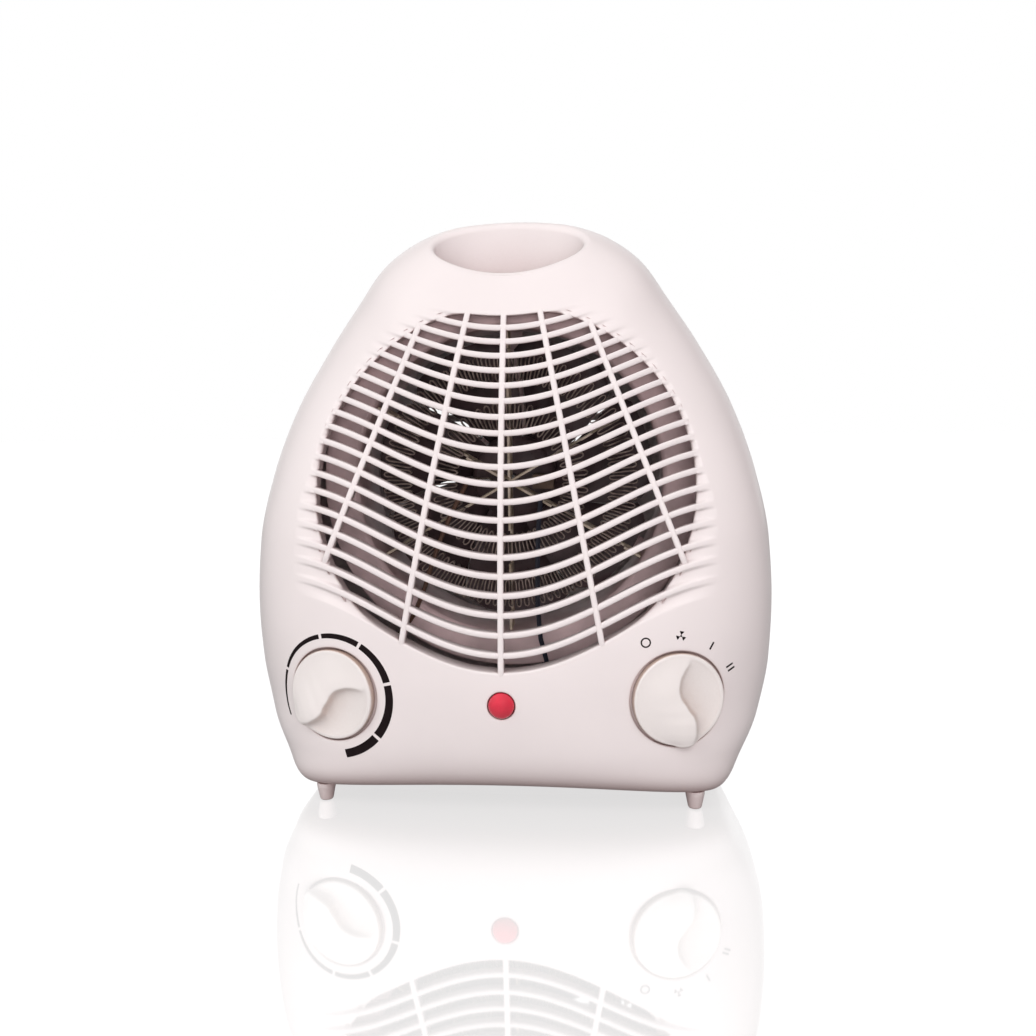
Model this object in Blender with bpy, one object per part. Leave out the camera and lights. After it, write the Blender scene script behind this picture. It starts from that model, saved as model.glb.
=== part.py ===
"""Fan convector heater, a table-top 2 kW fan heater: two moulded half shells
on four peg feet, a front grille of wave-shaped slats, a thermostat knob and a
heat selector knob, and inside them the air duct, the mica and nichrome
heating element, the axial fan and its shaded-pole motor, the switchgear, the
wiring and the supply cord.

Lengths below are millimetres; put() turns them into metres. The heater faces
-Y, +Z is up, and the frame's origin is on the floor under the middle of the
bounding box."""

import math

import bmesh
import bpy
import numpy as np
from mathutils import Matrix, Vector

# ---------------------------------------------------------------- dimensions
Y_FRAME = 33.5        # the origin lies this far behind the body's own middle

TOP_Z = 258.0         # crown of the casing
MID_Z = 120.0         # height of the widest part of the pillow-shaped shells
SEAM_Y = -12.0        # seam plane between the shells at floor level
SEAM_LEAN = 0.13      # and its backward lean, mm per mm of height
SEAM_GAP = 0.15       # half of the parting gap
WALL = 2.6            # shell wall
GRILLE_EXTRA = 1.6    # added depth of the slats behind the shell
# roundness of the shells by height, as superellipse exponents
FRONT_POWER = [(6.0, 5.2), (25.0, 3.4), (50.0, 2.8), (80.0, 3.1), (120.0, 3.3), (160.0, 3.1), (200.0, 2.7),
               (TOP_Z, 2.6)]
REAR_POWER = [(6.0, 5.2), (30.0, 3.6), (70.0, 3.0), (TOP_Z, 2.8)]
FLOOR_POWER = 9.0
# height and half width of the casing's outline
OUTLINE = [(5.6, 90.0), (7.5, 95.0), (20.0, 103.0), (38.0, 111.4), (62.0, 116.3),
           (88.0, 117.4), (115.0, 116.0), (145.0, 110.0), (173.5, 100.0), (200.0, 85.8),
           (222.0, 71.3), (238.0, 60.0), (249.0, 45.5), (255.8, 27.0), (TOP_Z, 0.0)]
UNDERSIDE_RISE = 3.6  # arch of the underside at mid width
# depth of each shell in front of and behind the seam, by height
FRONT_DEPTH = [(5.6, 50.0), (30.0, 54.0), (62.0, 58.0), (100.0, 59.5), (131.0, 58.5),
               (172.0, 54.5), (212.0, 52.0), (TOP_Z, 52.0)]
REAR_DEPTH = [(5.6, 62.0), (62.0, 64.0), (110.0, 60.0), (170.0, 50.0), (215.0, 42.0),
              (TOP_Z, 38.0)]

GRILLE_Z = 140.0      # centre of the oval outlet
GRILLE_A = 81.5       # its half width
GRILLE_B = 77.0       # its half height
SLATS = 20
SLAT_FACE = 2.3
RIB_FACE = 2.7
WAVE_LENGTH = 95.0    # half length of the slats' wave

POCKET_A = 33.5       # finger pocket in the crown: half width
POCKET_Y = (-18.0, 12.0)
POCKET_FLOOR = 214.0
POCKET_WALL = 2.2

KNOB_X = 74.1
KNOB_Z = 52.2
KNOB_YAW = 16.5       # degrees the knobs face outward
KNOB_R = 19.7
RECESS_R = 20.6
SPINDLE_R = 3.0
LAMP_Z = 50.0
LAMP_R = 5.6

FAN_Z = 140.0
DUCT_R = 68.5
DUCT_Y = (-18.0, 24.0)
FLANGE_R = 76.0
FAN_R = 65.0
FAN_BLADES = 7
SHAFT_R = 2.0
GAP = 0.3

CASE_POSTS = [(-101.0, 82.0), (101.0, 82.0), (-57.0, 214.0), (57.0, 214.0), (-60.0, 21.0), (60.0, 21.0)]
DUCT_POST_R = 76.5

MM = 0.001


def put(x, y, z):
    return Vector((x * MM, (y - Y_FRAME) * MM, z * MM))


# ---------------------------------------------------------------- materials
def material(name, colour, rough, metal=0.0):
    m = bpy.data.materials.new(name)
    m.use_nodes = True
    b = m.node_tree.nodes["Principled BSDF"]
    b.inputs["Base Color"].default_value = (*colour, 1.0)
    b.inputs["Roughness"].default_value = rough
    b.inputs["Metallic"].default_value = metal
    m.diffuse_color = (*colour, 1.0)
    return m


for o in list(bpy.data.objects):
    bpy.data.objects.remove(o, do_unlink=True)

SHELL = material("shell_plastic", (0.83, 0.79, 0.78), 0.38)
KNOB = material("knob_plastic", (0.80, 0.74, 0.71), 0.35)
LENS = material("red_lens", (0.75, 0.05, 0.09), 0.12)
GLASS = material("lamp_glass", (0.85, 0.80, 0.72), 0.08)
BLACK = material("black_plastic", (0.02, 0.02, 0.022), 0.28)
DUCT = material("duct_plastic", (0.50, 0.40, 0.38), 0.5)
MICA = material("mica_board", (0.56, 0.47, 0.33), 0.6)
NICHROME = material("nichrome", (0.30, 0.27, 0.24), 0.4, 0.9)
STEEL = material("steel", (0.55, 0.55, 0.56), 0.3, 1.0)
IRON = material("lamination_steel", (0.30, 0.30, 0.31), 0.5, 0.8)
BRASS = material("brass_part", (0.75, 0.58, 0.28), 0.3, 1.0)
BOBBIN = material("bobbin_tape", (0.72, 0.66, 0.30), 0.5)
PHENOLIC = material("phenolic", (0.10, 0.07, 0.05), 0.45)
CORD = material("cord_sheath", (0.80, 0.77, 0.75), 0.45)
WIRE_BLUE = material("wire_blue", (0.06, 0.15, 0.42), 0.45)
WIRE_BROWN = material("wire_brown", (0.22, 0.09, 0.04), 0.45)


# ---------------------------------------------------------------- curves
def smooth_table(table):
    """Monotone cubic through a table of (position, value)."""
    xs = [p[0] for p in table]
    ys = [p[1] for p in table]
    n = len(xs)
    d = [(ys[i + 1] - ys[i]) / (xs[i + 1] - xs[i]) for i in range(n - 1)]
    m = [d[0]] + [0.0] * (n - 2) + [d[-1]]
    for i in range(1, n - 1):
        if d[i - 1] * d[i] > 0:
            m[i] = 2.0 * d[i - 1] * d[i] / (d[i - 1] + d[i])

    def value(x):
        x = min(max(x, xs[0]), xs[-1])
        i = 0
        while i < n - 2 and x > xs[i + 1]:
            i += 1
        h = xs[i + 1] - xs[i]
        t = (x - xs[i]) / h
        return ((2 * t ** 3 - 3 * t ** 2 + 1) * ys[i] + (t ** 3 - 2 * t ** 2 + t) * h * m[i]
                + (3 * t ** 2 - 2 * t ** 3) * ys[i + 1] + (t ** 3 - t ** 2) * h * m[i + 1])
    return value


width_squared = smooth_table([(z, w * w) for z, w in OUTLINE])
front_depth = smooth_table(FRONT_DEPTH)
rear_depth = smooth_table(REAR_DEPTH)
front_power = smooth_table(FRONT_POWER)
rear_power = smooth_table(REAR_POWER)


def half_width(z):
    return math.sqrt(max(width_squared(z), 0.0))


def underside(x):
    return OUTLINE[0][0] + UNDERSIDE_RISE * max(0.0, 1.0 - (x / 94.0) ** 2)


def seam_y(z):
    return SEAM_Y + SEAM_LEAN * z


def inside(x, z):
    return z <= TOP_Z and z >= underside(x) and abs(x) <= half_width(z)


def outline_radius(angle):
    """Distance from the middle to the outline; angle 0 points up."""
    dx, dz = math.sin(angle), math.cos(angle)
    lo, hi = 40.0, 170.0
    for _ in range(40):
        r = 0.5 * (lo + hi)
        if inside(r * dx, MID_Z + r * dz):
            lo = r
        else:
            hi = r
    return lo


def bulge(x, z, side):
    """Depth of a shell over its seam, 0 on the outline and 1 in the middle."""
    n = front_power(z) if side < 0 else rear_power(z)
    if z >= MID_Z:
        r = math.hypot(x, z - MID_Z)
        if r < 1e-6:
            return 1.0
        s = r / outline_radius(math.atan2(x, z - MID_Z))
        return max(0.0, 1.0 - min(s, 1.0) ** n) ** (1.0 / n)
    s = min(abs(x) / max(half_width(z), 1e-6), 1.0)
    t = min((MID_Z - z) / (MID_Z - underside(x)), 1.0)
    return (1.0 - s ** n) ** (1.0 / n) * max(0.0, 1.0 - t ** FLOOR_POWER) ** (1.0 / FLOOR_POWER)


def depth_of(z, side):
    return front_depth(z) if side < 0 else rear_depth(z)


def face_y(x, z, side=-1):
    return seam_y(z) + side * depth_of(z, side) * bulge(x, z, side)


# ---------------------------------------------------------------- mesh tools
def new_object(name, verts, faces, mat, smooth=True, angle=35.0):
    mesh = bpy.data.meshes.new(name)
    mesh.from_pydata([tuple(put(*v)) for v in verts], [], faces)
    bm = bmesh.new()
    bm.from_mesh(mesh)
    bmesh.ops.recalc_face_normals(bm, faces=bm.faces)
    if bm.calc_volume(signed=True) < 0:
        bmesh.ops.reverse_faces(bm, faces=bm.faces)
    bm.to_mesh(mesh)
    bm.free()
    if smooth:
        mesh.shade_smooth()
        mesh.set_sharp_from_angle(angle=math.radians(angle))
    mesh.materials.append(mat)
    obj = bpy.data.objects.new(name, mesh)
    bpy.context.scene.collection.objects.link(obj)
    return obj


def set_origin(obj, x, y, z):
    """Moves an object's origin to a point without moving its surface."""
    p = put(x, y, z)
    obj.data.transform(Matrix.Translation(-p))
    obj.location = p


def hide(obj):
    obj.hide_render = True
    obj.display_type = "WIRE"
    return obj


def boolean(obj, tool, operation):
    m = obj.modifiers.new(operation.lower(), "BOOLEAN")
    m.operation = operation
    m.object = hide(tool)
    m.solver = "EXACT"
    return obj


def frame_of(axis):
    """Two unit vectors square to an axis."""
    a = Vector(axis).normalized()
    u = Vector((0, 0, 1)).cross(a)
    if u.length < 1e-6:
        u = Vector((1, 0, 0))
    u.normalize()
    return a, u, a.cross(u)


def turned(name, base, axis, profile, mat, sides=24, smooth=True):
    """A solid turned about an axis from a closed profile of (radius, height);
    a radius of 0 is a point on the axis."""
    a, u, v = frame_of(axis)
    base = Vector(base)
    verts, rings = [], []
    for r, h in profile:
        if r < 1e-9:
            rings.append([len(verts)])
            verts.append(base + a * h)
        else:
            rings.append(list(range(len(verts), len(verts) + sides)))
            for i in range(sides):
                t = 2 * math.pi * i / sides
                verts.append(base + a * h + (u * math.cos(t) + v * math.sin(t)) * r)
    faces = []
    n = len(rings)
    closed = len(rings[0]) > 1 or len(rings[-1]) > 1
    for k in range(n if closed else n - 1):
        p, q = rings[k], rings[(k + 1) % n]
        if len(p) == 1 and len(q) == 1:
            continue
        for i in range(sides):
            j = (i + 1) % sides
            if len(p) == 1:
                faces.append((p[0], q[j], q[i]))
            elif len(q) == 1:
                faces.append((p[i], p[j], q[0]))
            else:
                faces.append((p[i], p[j], q[j], q[i]))
    return new_object(name, verts, faces, mat, smooth)


def rod(name, base, axis, radius, length, mat, sides=16, chamfer=0.0):
    c = chamfer
    if c:
        prof = [(0, 0), (radius - c, 0), (radius, c), (radius, length - c), (radius - c, length), (0, length)]
    else:
        prof = [(0, 0), (radius, 0), (radius, length), (0, length)]
    return turned(name, base, axis, prof, mat, sides)


def prism(name, outline, lift, mat, smooth=False):
    """Extrudes a closed outline of points by the vector lift."""
    n = len(outline)
    lift = Vector(lift)
    verts = [Vector(p) for p in outline] + [Vector(p) + lift for p in outline]
    faces = [tuple(range(n))[::-1], tuple(range(n, 2 * n))]
    faces += [(i, (i + 1) % n, n + (i + 1) % n, n + i) for i in range(n)]
    return new_object(name, verts, faces, mat, smooth)


def block(name, lo, hi, mat, bevel=0.0):
    (x0, y0, z0), (x1, y1, z1) = lo, hi
    obj = prism(name, [(x0, y0, z0), (x1, y0, z0), (x1, y1, z0), (x0, y1, z0)], (0, 0, z1 - z0), mat)
    if bevel:
        m = obj.modifiers.new("edges", "BEVEL")
        m.width = bevel * MM
        m.segments = 2
        m.limit_method = "ANGLE"
    return obj


def several(name, pieces):
    """One mesh of separate closed solids, given as (verts, faces); a tool for
    Booleans only."""
    verts, faces = [], []
    for v, f in pieces:
        k = len(verts)
        verts += v
        faces += [tuple(i + k for i in face) for face in f]
    return new_object(name, verts, faces, BLACK, False)


def prism_data(outline, lift):
    n = len(outline)
    lift = Vector(lift)
    verts = [Vector(p) for p in outline] + [Vector(p) + lift for p in outline]
    faces = [tuple(range(n))[::-1], tuple(range(n, 2 * n))]
    faces += [(i, (i + 1) % n, n + (i + 1) % n, n + i) for i in range(n)]
    return verts, faces


def rod_data(base, axis, radius, length, sides=12, radius2=None):
    a, u, v = frame_of(axis)
    base = Vector(base)
    r2 = radius if radius2 is None else radius2
    ring = [(u * math.cos(2 * math.pi * i / sides) + v * math.sin(2 * math.pi * i / sides)) for i in range(sides)]
    verts = [base + w * radius for w in ring] + [base + a * length + w * r2 for w in ring]
    n = sides
    faces = [tuple(range(n))[::-1], tuple(range(n, 2 * n))]
    faces += [(i, (i + 1) % n, n + (i + 1) % n, n + i) for i in range(n)]
    return verts, faces


def swept(name, path, section, mat, closed=False, up=(0, 0, 1), smooth=True):
    """Sweeps a closed section of (across, along-up) along a path."""
    n, k = len(path), len(section)
    path = [Vector(p) for p in path]
    up = Vector(up)
    verts = []
    last = None
    for i, p in enumerate(path):
        if closed:
            t = path[(i + 1) % n] - path[i - 1]
        else:
            t = path[min(i + 1, n - 1)] - path[max(i - 1, 0)]
        t.normalize()
        if last is None:
            side = t.cross(up)
            if side.length < 1e-3:
                side = t.cross(Vector((1, 0, 0)))
        else:
            side = last - t * last.dot(t)
        if closed or up.length > 0.5:
            s2 = t.cross(up)
            if s2.length > 0.25:
                side = s2 if last is None or s2.dot(last) > 0 else -s2
        side.normalize()
        last = side
        w = side.cross(t)
        verts += [p + side * a + w * b for a, b in section]
    faces = []
    for i in range(n if closed else n - 1):
        a, b = i * k, ((i + 1) % n) * k
        faces += [(a + j, a + (j + 1) % k, b + (j + 1) % k, b + j) for j in range(k)]
    if not closed:
        faces += [tuple(range(k))[::-1], tuple(range((n - 1) * k, n * k))]
    return new_object(name, verts, faces, mat, smooth, 50.0)


def circle_section(radius, sides):
    return [(radius * math.cos(2 * math.pi * i / sides), radius * math.sin(2 * math.pi * i / sides)) for i in range(sides)]


def spline(points, steps):
    """Catmull-Rom curve through points, with its ends kept."""
    pts = [Vector(p) for p in points]
    pts = [pts[0] * 2 - pts[1]] + pts + [pts[-1] * 2 - pts[-2]]
    out = []
    for i in range(1, len(pts) - 2):
        p0, p1, p2, p3 = pts[i - 1:i + 3]
        for s in range(steps):
            t = s / steps
            out.append(0.5 * ((2 * p1) + (p2 - p0) * t + (2 * p0 - 5 * p1 + 4 * p2 - p3) * t * t
                              + (3 * p1 - p0 - 3 * p2 + p3) * t ** 3))
    out.append(pts[-2])
    return out


# ---------------------------------------------------------------- the shells
ROUND = 32                                     # stations round the outline
RINGS = [0.0, 0.42, 0.70, 0.85, 0.93, 0.972, 0.993, 1.0]


def shell_surface(side, inset, extra=None, gap=SEAM_GAP):
    """Rings of points over one shell, inset from the outer skin; the last
    ring lies in the seam plane."""
    rows = []
    for s in RINGS:
        row = []
        for i in range(ROUND):
            a = 2 * math.pi * (i + 0.5) / ROUND
            big = outline_radius(a)
            x, z = s * big * math.sin(a), MID_Z + s * big * math.cos(a)
            h = bulge(x, z, side) if s < 1.0 else 0.0
            d = depth_of(z, side)
            k = 1.0 - inset / big
            xi, zi = x * k, MID_Z + (z - MID_Z) * k
            deep = d - inset - (extra(xi, zi) if extra else 0.0)
            row.append((xi, seam_y(zi) + side * max(gap, deep * h), zi))
        rows.append(row)
    return rows


def skin(rows, verts, faces, flip):
    """Adds the rings to verts and faces; returns the index of the last ring."""
    centre = len(verts)
    verts.append(rows[0][0])
    start = len(verts)
    for row in rows[1:]:
        verts.extend(row)
    n = ROUND
    for i in range(n):
        j = (i + 1) % n
        f = (centre, start + i, start + j)
        faces.append(f[::-1] if flip else f)
    for r in range(len(rows) - 2):
        a = start + r * n
        b = a + n
        for i in range(n):
            j = (i + 1) % n
            f = (a + i, b + i, b + j, a + j)
            faces.append(f[::-1] if flip else f)
    return start + (len(rows) - 2) * n


def grille_pad(x, z):
    r = math.hypot(x / (GRILLE_A + 5.0), (z - GRILLE_Z) / (GRILLE_B + 4.0))
    t = min(max((1.06 - r) / 0.12, 0.0), 1.0)
    return GRILLE_EXTRA * t * t * (3 - 2 * t)


def shell(name, side, extra=None):
    verts, faces = [], []
    a = skin(shell_surface(side, 0.0), verts, faces, False)
    b = skin(shell_surface(side, WALL, extra), verts, faces, True)
    for i in range(ROUND):
        j = (i + 1) % ROUND
        faces.append((a + i, b + i, b + j, a + j))
    return new_object(name, verts, faces, SHELL, True, 40.0)


def fill(name, side, inset):
    """The solid inside one shell, to trim posts and bosses with."""
    verts, faces = [], []
    a = skin(shell_surface(side, inset), verts, faces, False)
    faces.append(tuple(range(a, a + ROUND)))
    return hide(new_object(name, verts, faces, BLACK, False))


def trimmed(tool, filler):
    """Cuts a tool down to what lies inside a shell."""
    m = tool.modifiers.new("trim", "BOOLEAN")
    m.operation = "INTERSECT"
    m.object = filler
    m.solver = "EXACT"
    return tool


def slat_z(k, x):
    """Height of slat k's middle line: a wave that rises from the middle."""
    low = 213.4 - 5.71 * k - 0.07 * k * k
    rise = 22.0 + 0.45 * k
    return low + rise * 0.5 * (1.0 - math.cos(math.pi * min(abs(x) / WAVE_LENGTH, 1.0)))


def slat_slope(k, x):
    return (slat_z(k, x + 0.5) - slat_z(k, x - 0.5))


def inner_rib_x(z):
    t = 210.0 - z
    return 16.6 + 0.205 * t - 0.0001 * t * t


def outer_rib_x(z):
    return 40.8 + 0.392 * (200.0 - z)


def clip_convex(poly, clip):
    """Sutherland-Hodgman clip of a polygon by a convex one (anticlockwise)."""
    out = poly
    m = len(clip)
    for i in range(m):
        ax, az = clip[i]
        bx, bz = clip[(i + 1) % m]
        src, out = out, []
        if not src:
            break
        sides = [(bx - ax) * (p[1] - az) - (bz - az) * (p[0] - ax) for p in src]
        for j in range(len(src)):
            p, q = src[j - 1], src[j]
            sp, sq = sides[j - 1], sides[j]
            if (sp >= 0) != (sq >= 0):
                t = sp / (sp - sq)
                out.append((p[0] + (q[0] - p[0]) * t, p[1] + (q[1] - p[1]) * t))
            if sq >= 0:
                out.append(q)
    clean = []
    for p in out:
        if not clean or math.hypot(p[0] - clean[-1][0], p[1] - clean[-1][1]) > 0.3:
            clean.append(p)
    while len(clean) > 2 and math.hypot(clean[0][0] - clean[-1][0], clean[0][1] - clean[-1][1]) < 0.3:
        clean.pop()
    return clean


def area(poly):
    return 0.5 * sum(poly[i - 1][0] * poly[i][1] - poly[i][0] * poly[i - 1][1] for i in range(len(poly)))


def grille_cells():
    """The openings between slats and ribs, as outlines in x and z."""
    oval = [(GRILLE_A * math.cos(2 * math.pi * i / 32), GRILLE_Z + GRILLE_B * math.sin(2 * math.pi * i / 32))
            for i in range(32)]
    lines = [0.1] + [float(k) for k in range(1, SLATS + 1)] + [SLATS + 0.9]
    cells = []
    half = SLAT_FACE / 2

    def edge(k, x, sign):
        if k < 1.0 or k > SLATS:
            return slat_z(k, x)
        return slat_z(k, x) + sign * half * math.hypot(1.0, slat_slope(k, x))

    def meet(bound, k, sign, offset):
        x = bound(slat_z(k, 40.0)) + offset
        for _ in range(30):
            x = bound(edge(k, x, sign)) + offset
        return x

    columns = [(lambda z: 0.0, inner_rib_x, 2), (inner_rib_x, outer_rib_x, 1), (outer_rib_x, lambda z: 95.0, 1)]
    rib = RIB_FACE / 2
    for top, low in zip(lines[:-1], lines[1:]):
        for left, right, cuts in columns:
            xt0, xt1 = meet(left, top, -1, rib), meet(right, top, -1, -rib)
            xb0, xb1 = meet(left, low, 1, rib), meet(right, low, 1, -rib)
            upper = [(xt0 + (xt1 - xt0) * i / cuts, top, -1) for i in range(cuts + 1)]
            lower = [(xb0 + (xb1 - xb0) * i / cuts, low, 1) for i in range(cuts + 1)]
            poly = [(x, edge(k, x, s)) for x, k, s in lower] + [(x, edge(k, x, s)) for x, k, s in upper[::-1]]
            poly = clip_convex(poly, oval)
            if len(poly) >= 3 and area(poly) > 6.0:
                cells.append(poly)
                cells.append([(-x, z) for x, z in poly[::-1]])
    return cells


# axis of a knob: outward from the face
def knob_axis(sign):
    a = math.radians(KNOB_YAW)
    return Vector((sign * math.sin(a), -math.cos(a), 0.0))


def knob_base(sign, out=0.0):
    """A point on the knob's axis, out millimetres above the face."""
    return Vector((sign * KNOB_X, face_y(KNOB_X, KNOB_Z), KNOB_Z)) + knob_axis(sign) * out


front_fill = fill("trim_front", -1, 1.2)
rear_fill = fill("trim_rear", 1, 1.2)


def pocket_outline(grow, z):
    mid = 0.5 * (POCKET_Y[0] + POCKET_Y[1])
    b = 0.5 * (POCKET_Y[1] - POCKET_Y[0]) + grow
    a = POCKET_A + grow
    return [(a * math.cos(2 * math.pi * (i + 0.5) / 18), mid + b * math.sin(2 * math.pi * (i + 0.5) / 18), z) for i in range(18)]


# ---- front housing
front = shell("front_housing", -1, grille_pad)
front_adds = [
    prism_data(pocket_outline(POCKET_WALL, POCKET_FLOOR - POCKET_WALL), (0, 0, 60)),
]
for x, z in CASE_POSTS:
    front_adds.append(rod_data((x, -60.0, z), (0, 1, 0), 4.2, 58.0 + seam_y(z) - 0.6, 8))
adds = several("front_posts", front_adds)
trimmed(adds, front_fill)
boolean(front, adds, "UNION")
bosses = [rod_data(knob_base(s, -5.0), knob_axis(s), RECESS_R + 1.8, 2.6, 24) for s in (-1, 1)]
bosses.append(rod_data((0, face_y(0, LAMP_Z) + 1.5, LAMP_Z), (0, 1, 0), LAMP_R + 2.2, 6.0, 14))
boolean(front, several("front_bosses", bosses), "UNION")
cuts = [prism_data(pocket_outline(0.0, POCKET_FLOOR), (0, 0, 60))]
for s in (-1, 1):
    cuts.append(rod_data(knob_base(s, -2.8), knob_axis(s), RECESS_R, 12.0, 24))
boolean(front, several("front_recesses", cuts), "DIFFERENCE")
holes = []
for s in (-1, 1):
    holes.append(rod_data(knob_base(s, -9.0), knob_axis(s), SPINDLE_R + 0.8, 8.0, 12))
holes.append(rod_data((0, face_y(0, LAMP_Z) - 6.0, LAMP_Z), (0, 1, 0), LAMP_R + GAP, 20.0, 14))
for x, z in CASE_POSTS:
    holes.append(rod_data((x, seam_y(z) - 12.0, z), (0, 1, 0), 1.9, 16.0, 8))
for x in (-82.0, 82.0):
    holes.append(rod_data((x, -43.0, 0.0), (0, 0, 1), 1.9, 14.0, 8))
boolean(front, several("front_holes", holes), "DIFFERENCE")
cells = [prism_data([(x, -80.0, z) for x, z in c], (0, 59.5, 0)) for c in grille_cells()]
boolean(front, several("grille_openings", cells), "DIFFERENCE")

# ---- rear housing
INTAKE_R = 58.0
rear = shell("rear_housing", 1)
rear_adds = []
for x, z in CASE_POSTS:
    rear_adds.append(rod_data((x, seam_y(z) + 0.6, z), (0, 1, 0), 4.4, 70.0, 8))
duct_posts = []
for i in range(4):
    a = math.radians(45 + 90 * i)
    duct_posts.append((DUCT_POST_R * math.sin(a), FAN_Z + DUCT_POST_R * math.cos(a)))
for x, z in duct_posts:
    rear_adds.append(rod_data((x, DUCT_Y[1] + GAP, z), (0, 1, 0), 4.0, 45.0, 8))
adds = several("rear_posts", rear_adds)
trimmed(adds, rear_fill)
boolean(rear, adds, "UNION")
cuts = []
for x, z in CASE_POSTS:
    cuts.append(rod_data((x, seam_y(z) + 9.0, z), (0, 1, 0), 3.3, 90.0, 8))
boolean(rear, several("rear_recesses", cuts), "DIFFERENCE")
holes = []
for x, z in CASE_POSTS:
    holes.append(rod_data((x, seam_y(z) - 5.0, z), (0, 1, 0), 1.9, 16.0, 8))
for x, z in duct_posts:
    holes.append(rod_data((x, DUCT_Y[1] - 5.0, z), (0, 1, 0), 1.7, 19.0, 8))
for x in (-76.0, 76.0):
    holes.append(rod_data((x, 26.0, 0.0), (0, 0, 1), 1.9, 14.0, 8))
CORD_X, CORD_Z = 42.0, 24.0
holes.append(rod_data((CORD_X, 40.0, CORD_Z), (0, 1, 0), 6.3, 30.0, 16))
boolean(rear, several("rear_holes", holes), "DIFFERENCE")
slots = []
row = -7
while row <= 7:
    z = FAN_Z + row * 7.6
    reach = math.sqrt(max(INTAKE_R ** 2 - (row * 7.6) ** 2, 0.0))
    if reach > 12.0:
        for x0, x1 in ((1.6, reach),):
            for s in (-1, 1):
                xs = sorted((s * x0, s * x1))
                slots.append(prism_data([(xs[0], 40, z - 2.1), (xs[1], 40, z - 2.1), (xs[1], 40, z + 2.1),
                                         (xs[0], 40, z + 2.1)], (0, 40, 0)))
    row += 1
boolean(rear, several("intake_openings", slots), "DIFFERENCE")

# ---- feet
for fx, fy, label in ((-82.0, -43.0, "front_left"), (82.0, -43.0, "front_right"),
                      (-76.0, 26.0, "rear_left"), (76.0, 26.0, "rear_right")):
    under = underside(fx)
    turned("foot_" + label, (fx, fy, 0.0), (0, 0, 1),
           [(0, 0), (2.6, 0), (3.0, 0.5), (4.1, under - 0.6), (1.6, under - 0.6), (1.6, under + 4.4), (0, under + 4.4)],
           SHELL, 12)


# ---------------------------------------------------------------- controls
def knob(name, sign, nose_deg):
    """A disc with a curved grip; nose_deg turns the broad end of the grip
    from straight up, clockwise when seen from the front."""
    axis = knob_axis(sign)
    base = knob_base(sign, -2.4)
    disc = turned(name, base, axis,
                  [(0, 1.6), (16.8, 1.6), (16.8, 0.0), (KNOB_R - 0.4, 0.0), (KNOB_R, 0.5), (KNOB_R, 2.7),
                   (KNOB_R - 1.0, 3.7), (0, 3.7)], KNOB, 28)
    across = Vector((0, 0, 1)).cross(axis).normalized()
    a = math.radians(nose_deg)
    nose = Vector((0, 0, 1)) * math.cos(a) + across * math.sin(a)
    side = nose.cross(axis).normalized()
    # grip: a low ridge along a bowed crest, steep on one side and gentle on the other
    verts, faces = [], []
    crest = [(-17.0, 2.6, 4.1, 1.0), (-12.0, 0.9, 4.4, 2.5), (-6.0, -1.2, 5.1, 5.0), (0.0, 0.1, 5.7, 7.0), (4.5, 2.7, 6.3, 8.0),
             (9.0, 5.1, 6.9, 8.5), (14.5, 5.6, 7.1, 8.0), (18.5, 4.6, 6.2, 6.5), (20.8, 3.6, 5.0, 3.6)]
    stations = len(crest) - 1
    for along, q, tall, gentle in crest:
        c = base + nose * along
        for off, dh in ((q - gentle, 3.0), (q + 1.1, 3.0), (q, tall), (q - 0.3 * gentle, tall - 0.15 * (tall - 3.7))):
            verts.append(c - side * off + axis * dh)
    for i in range(stations):
        p, q = i * 4, i * 4 + 4
        faces += [(p + j, p + (j + 1) % 4, q + (j + 1) % 4, q + j) for j in range(4)]
    faces += [(3, 2, 1, 0), (stations * 4, stations * 4 + 1, stations * 4 + 2, stations * 4 + 3)]
    grip = new_object(name + "_grip", verts, faces, KNOB, False)
    boolean(disc, grip, "UNION")
    socket = turned(name + "_socket", base, axis, [(0, 0.4), (5.2, 0.4), (5.2, 2.4), (0, 2.4)], KNOB, 16)
    boolean(disc, socket, "UNION")
    bore = turned(name + "_bore", base, axis, [(0, -1.0), (SPINDLE_R + GAP, -1.0), (SPINDLE_R + GAP, 2.9), (0, 2.9)], KNOB, 16)
    boolean(disc, bore, "DIFFERENCE")
    return disc


def spindle(name, sign):
    axis = knob_axis(sign)
    return turned(name, knob_base(sign, 0.0), axis,
                  [(0, -16.0), (SPINDLE_R, -16.0), (SPINDLE_R, 0.0), (SPINDLE_R - 0.4, 0.3), (0, 0.3)], BRASS, 16)


def control_body(name, sign, half_a, half_b, depth, mat):
    """A switch body behind the face, with a blind bore for its spindle."""
    axis = knob_axis(sign)
    across = Vector((0, 0, 1)).cross(axis).normalized()
    base = knob_base(sign, -5.4)
    pts = [base + across * a + Vector((0, 0, 1)) * b for a, b in
           ((-half_a, -half_b), (half_a, -half_b), (half_a, half_b), (-half_a, half_b))]
    body = prism(name, pts, -axis * depth, mat)
    m = body.modifiers.new("edges", "BEVEL")
    m.width = 1.2 * MM
    m.segments = 1
    m.limit_method = "ANGLE"
    bore = rod(name + "_bore", base + axis * 2.0, -axis, SPINDLE_R + GAP, 13.2, mat, 16)
    boolean(body, bore, "DIFFERENCE")
    return body


thermostat_knob = knob("thermostat_knob", -1, -118.0)
selector_knob = knob("selector_knob", 1, 180.0)
spindle("thermostat_spindle", -1)
spindle("switch_spindle", 1)
control_body("thermostat_body", -1, 13.0, 10.0, 17.0, PHENOLIC)
control_body("switch_body", 1, 11.5, 11.0, 19.0, PHENOLIC)

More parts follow.
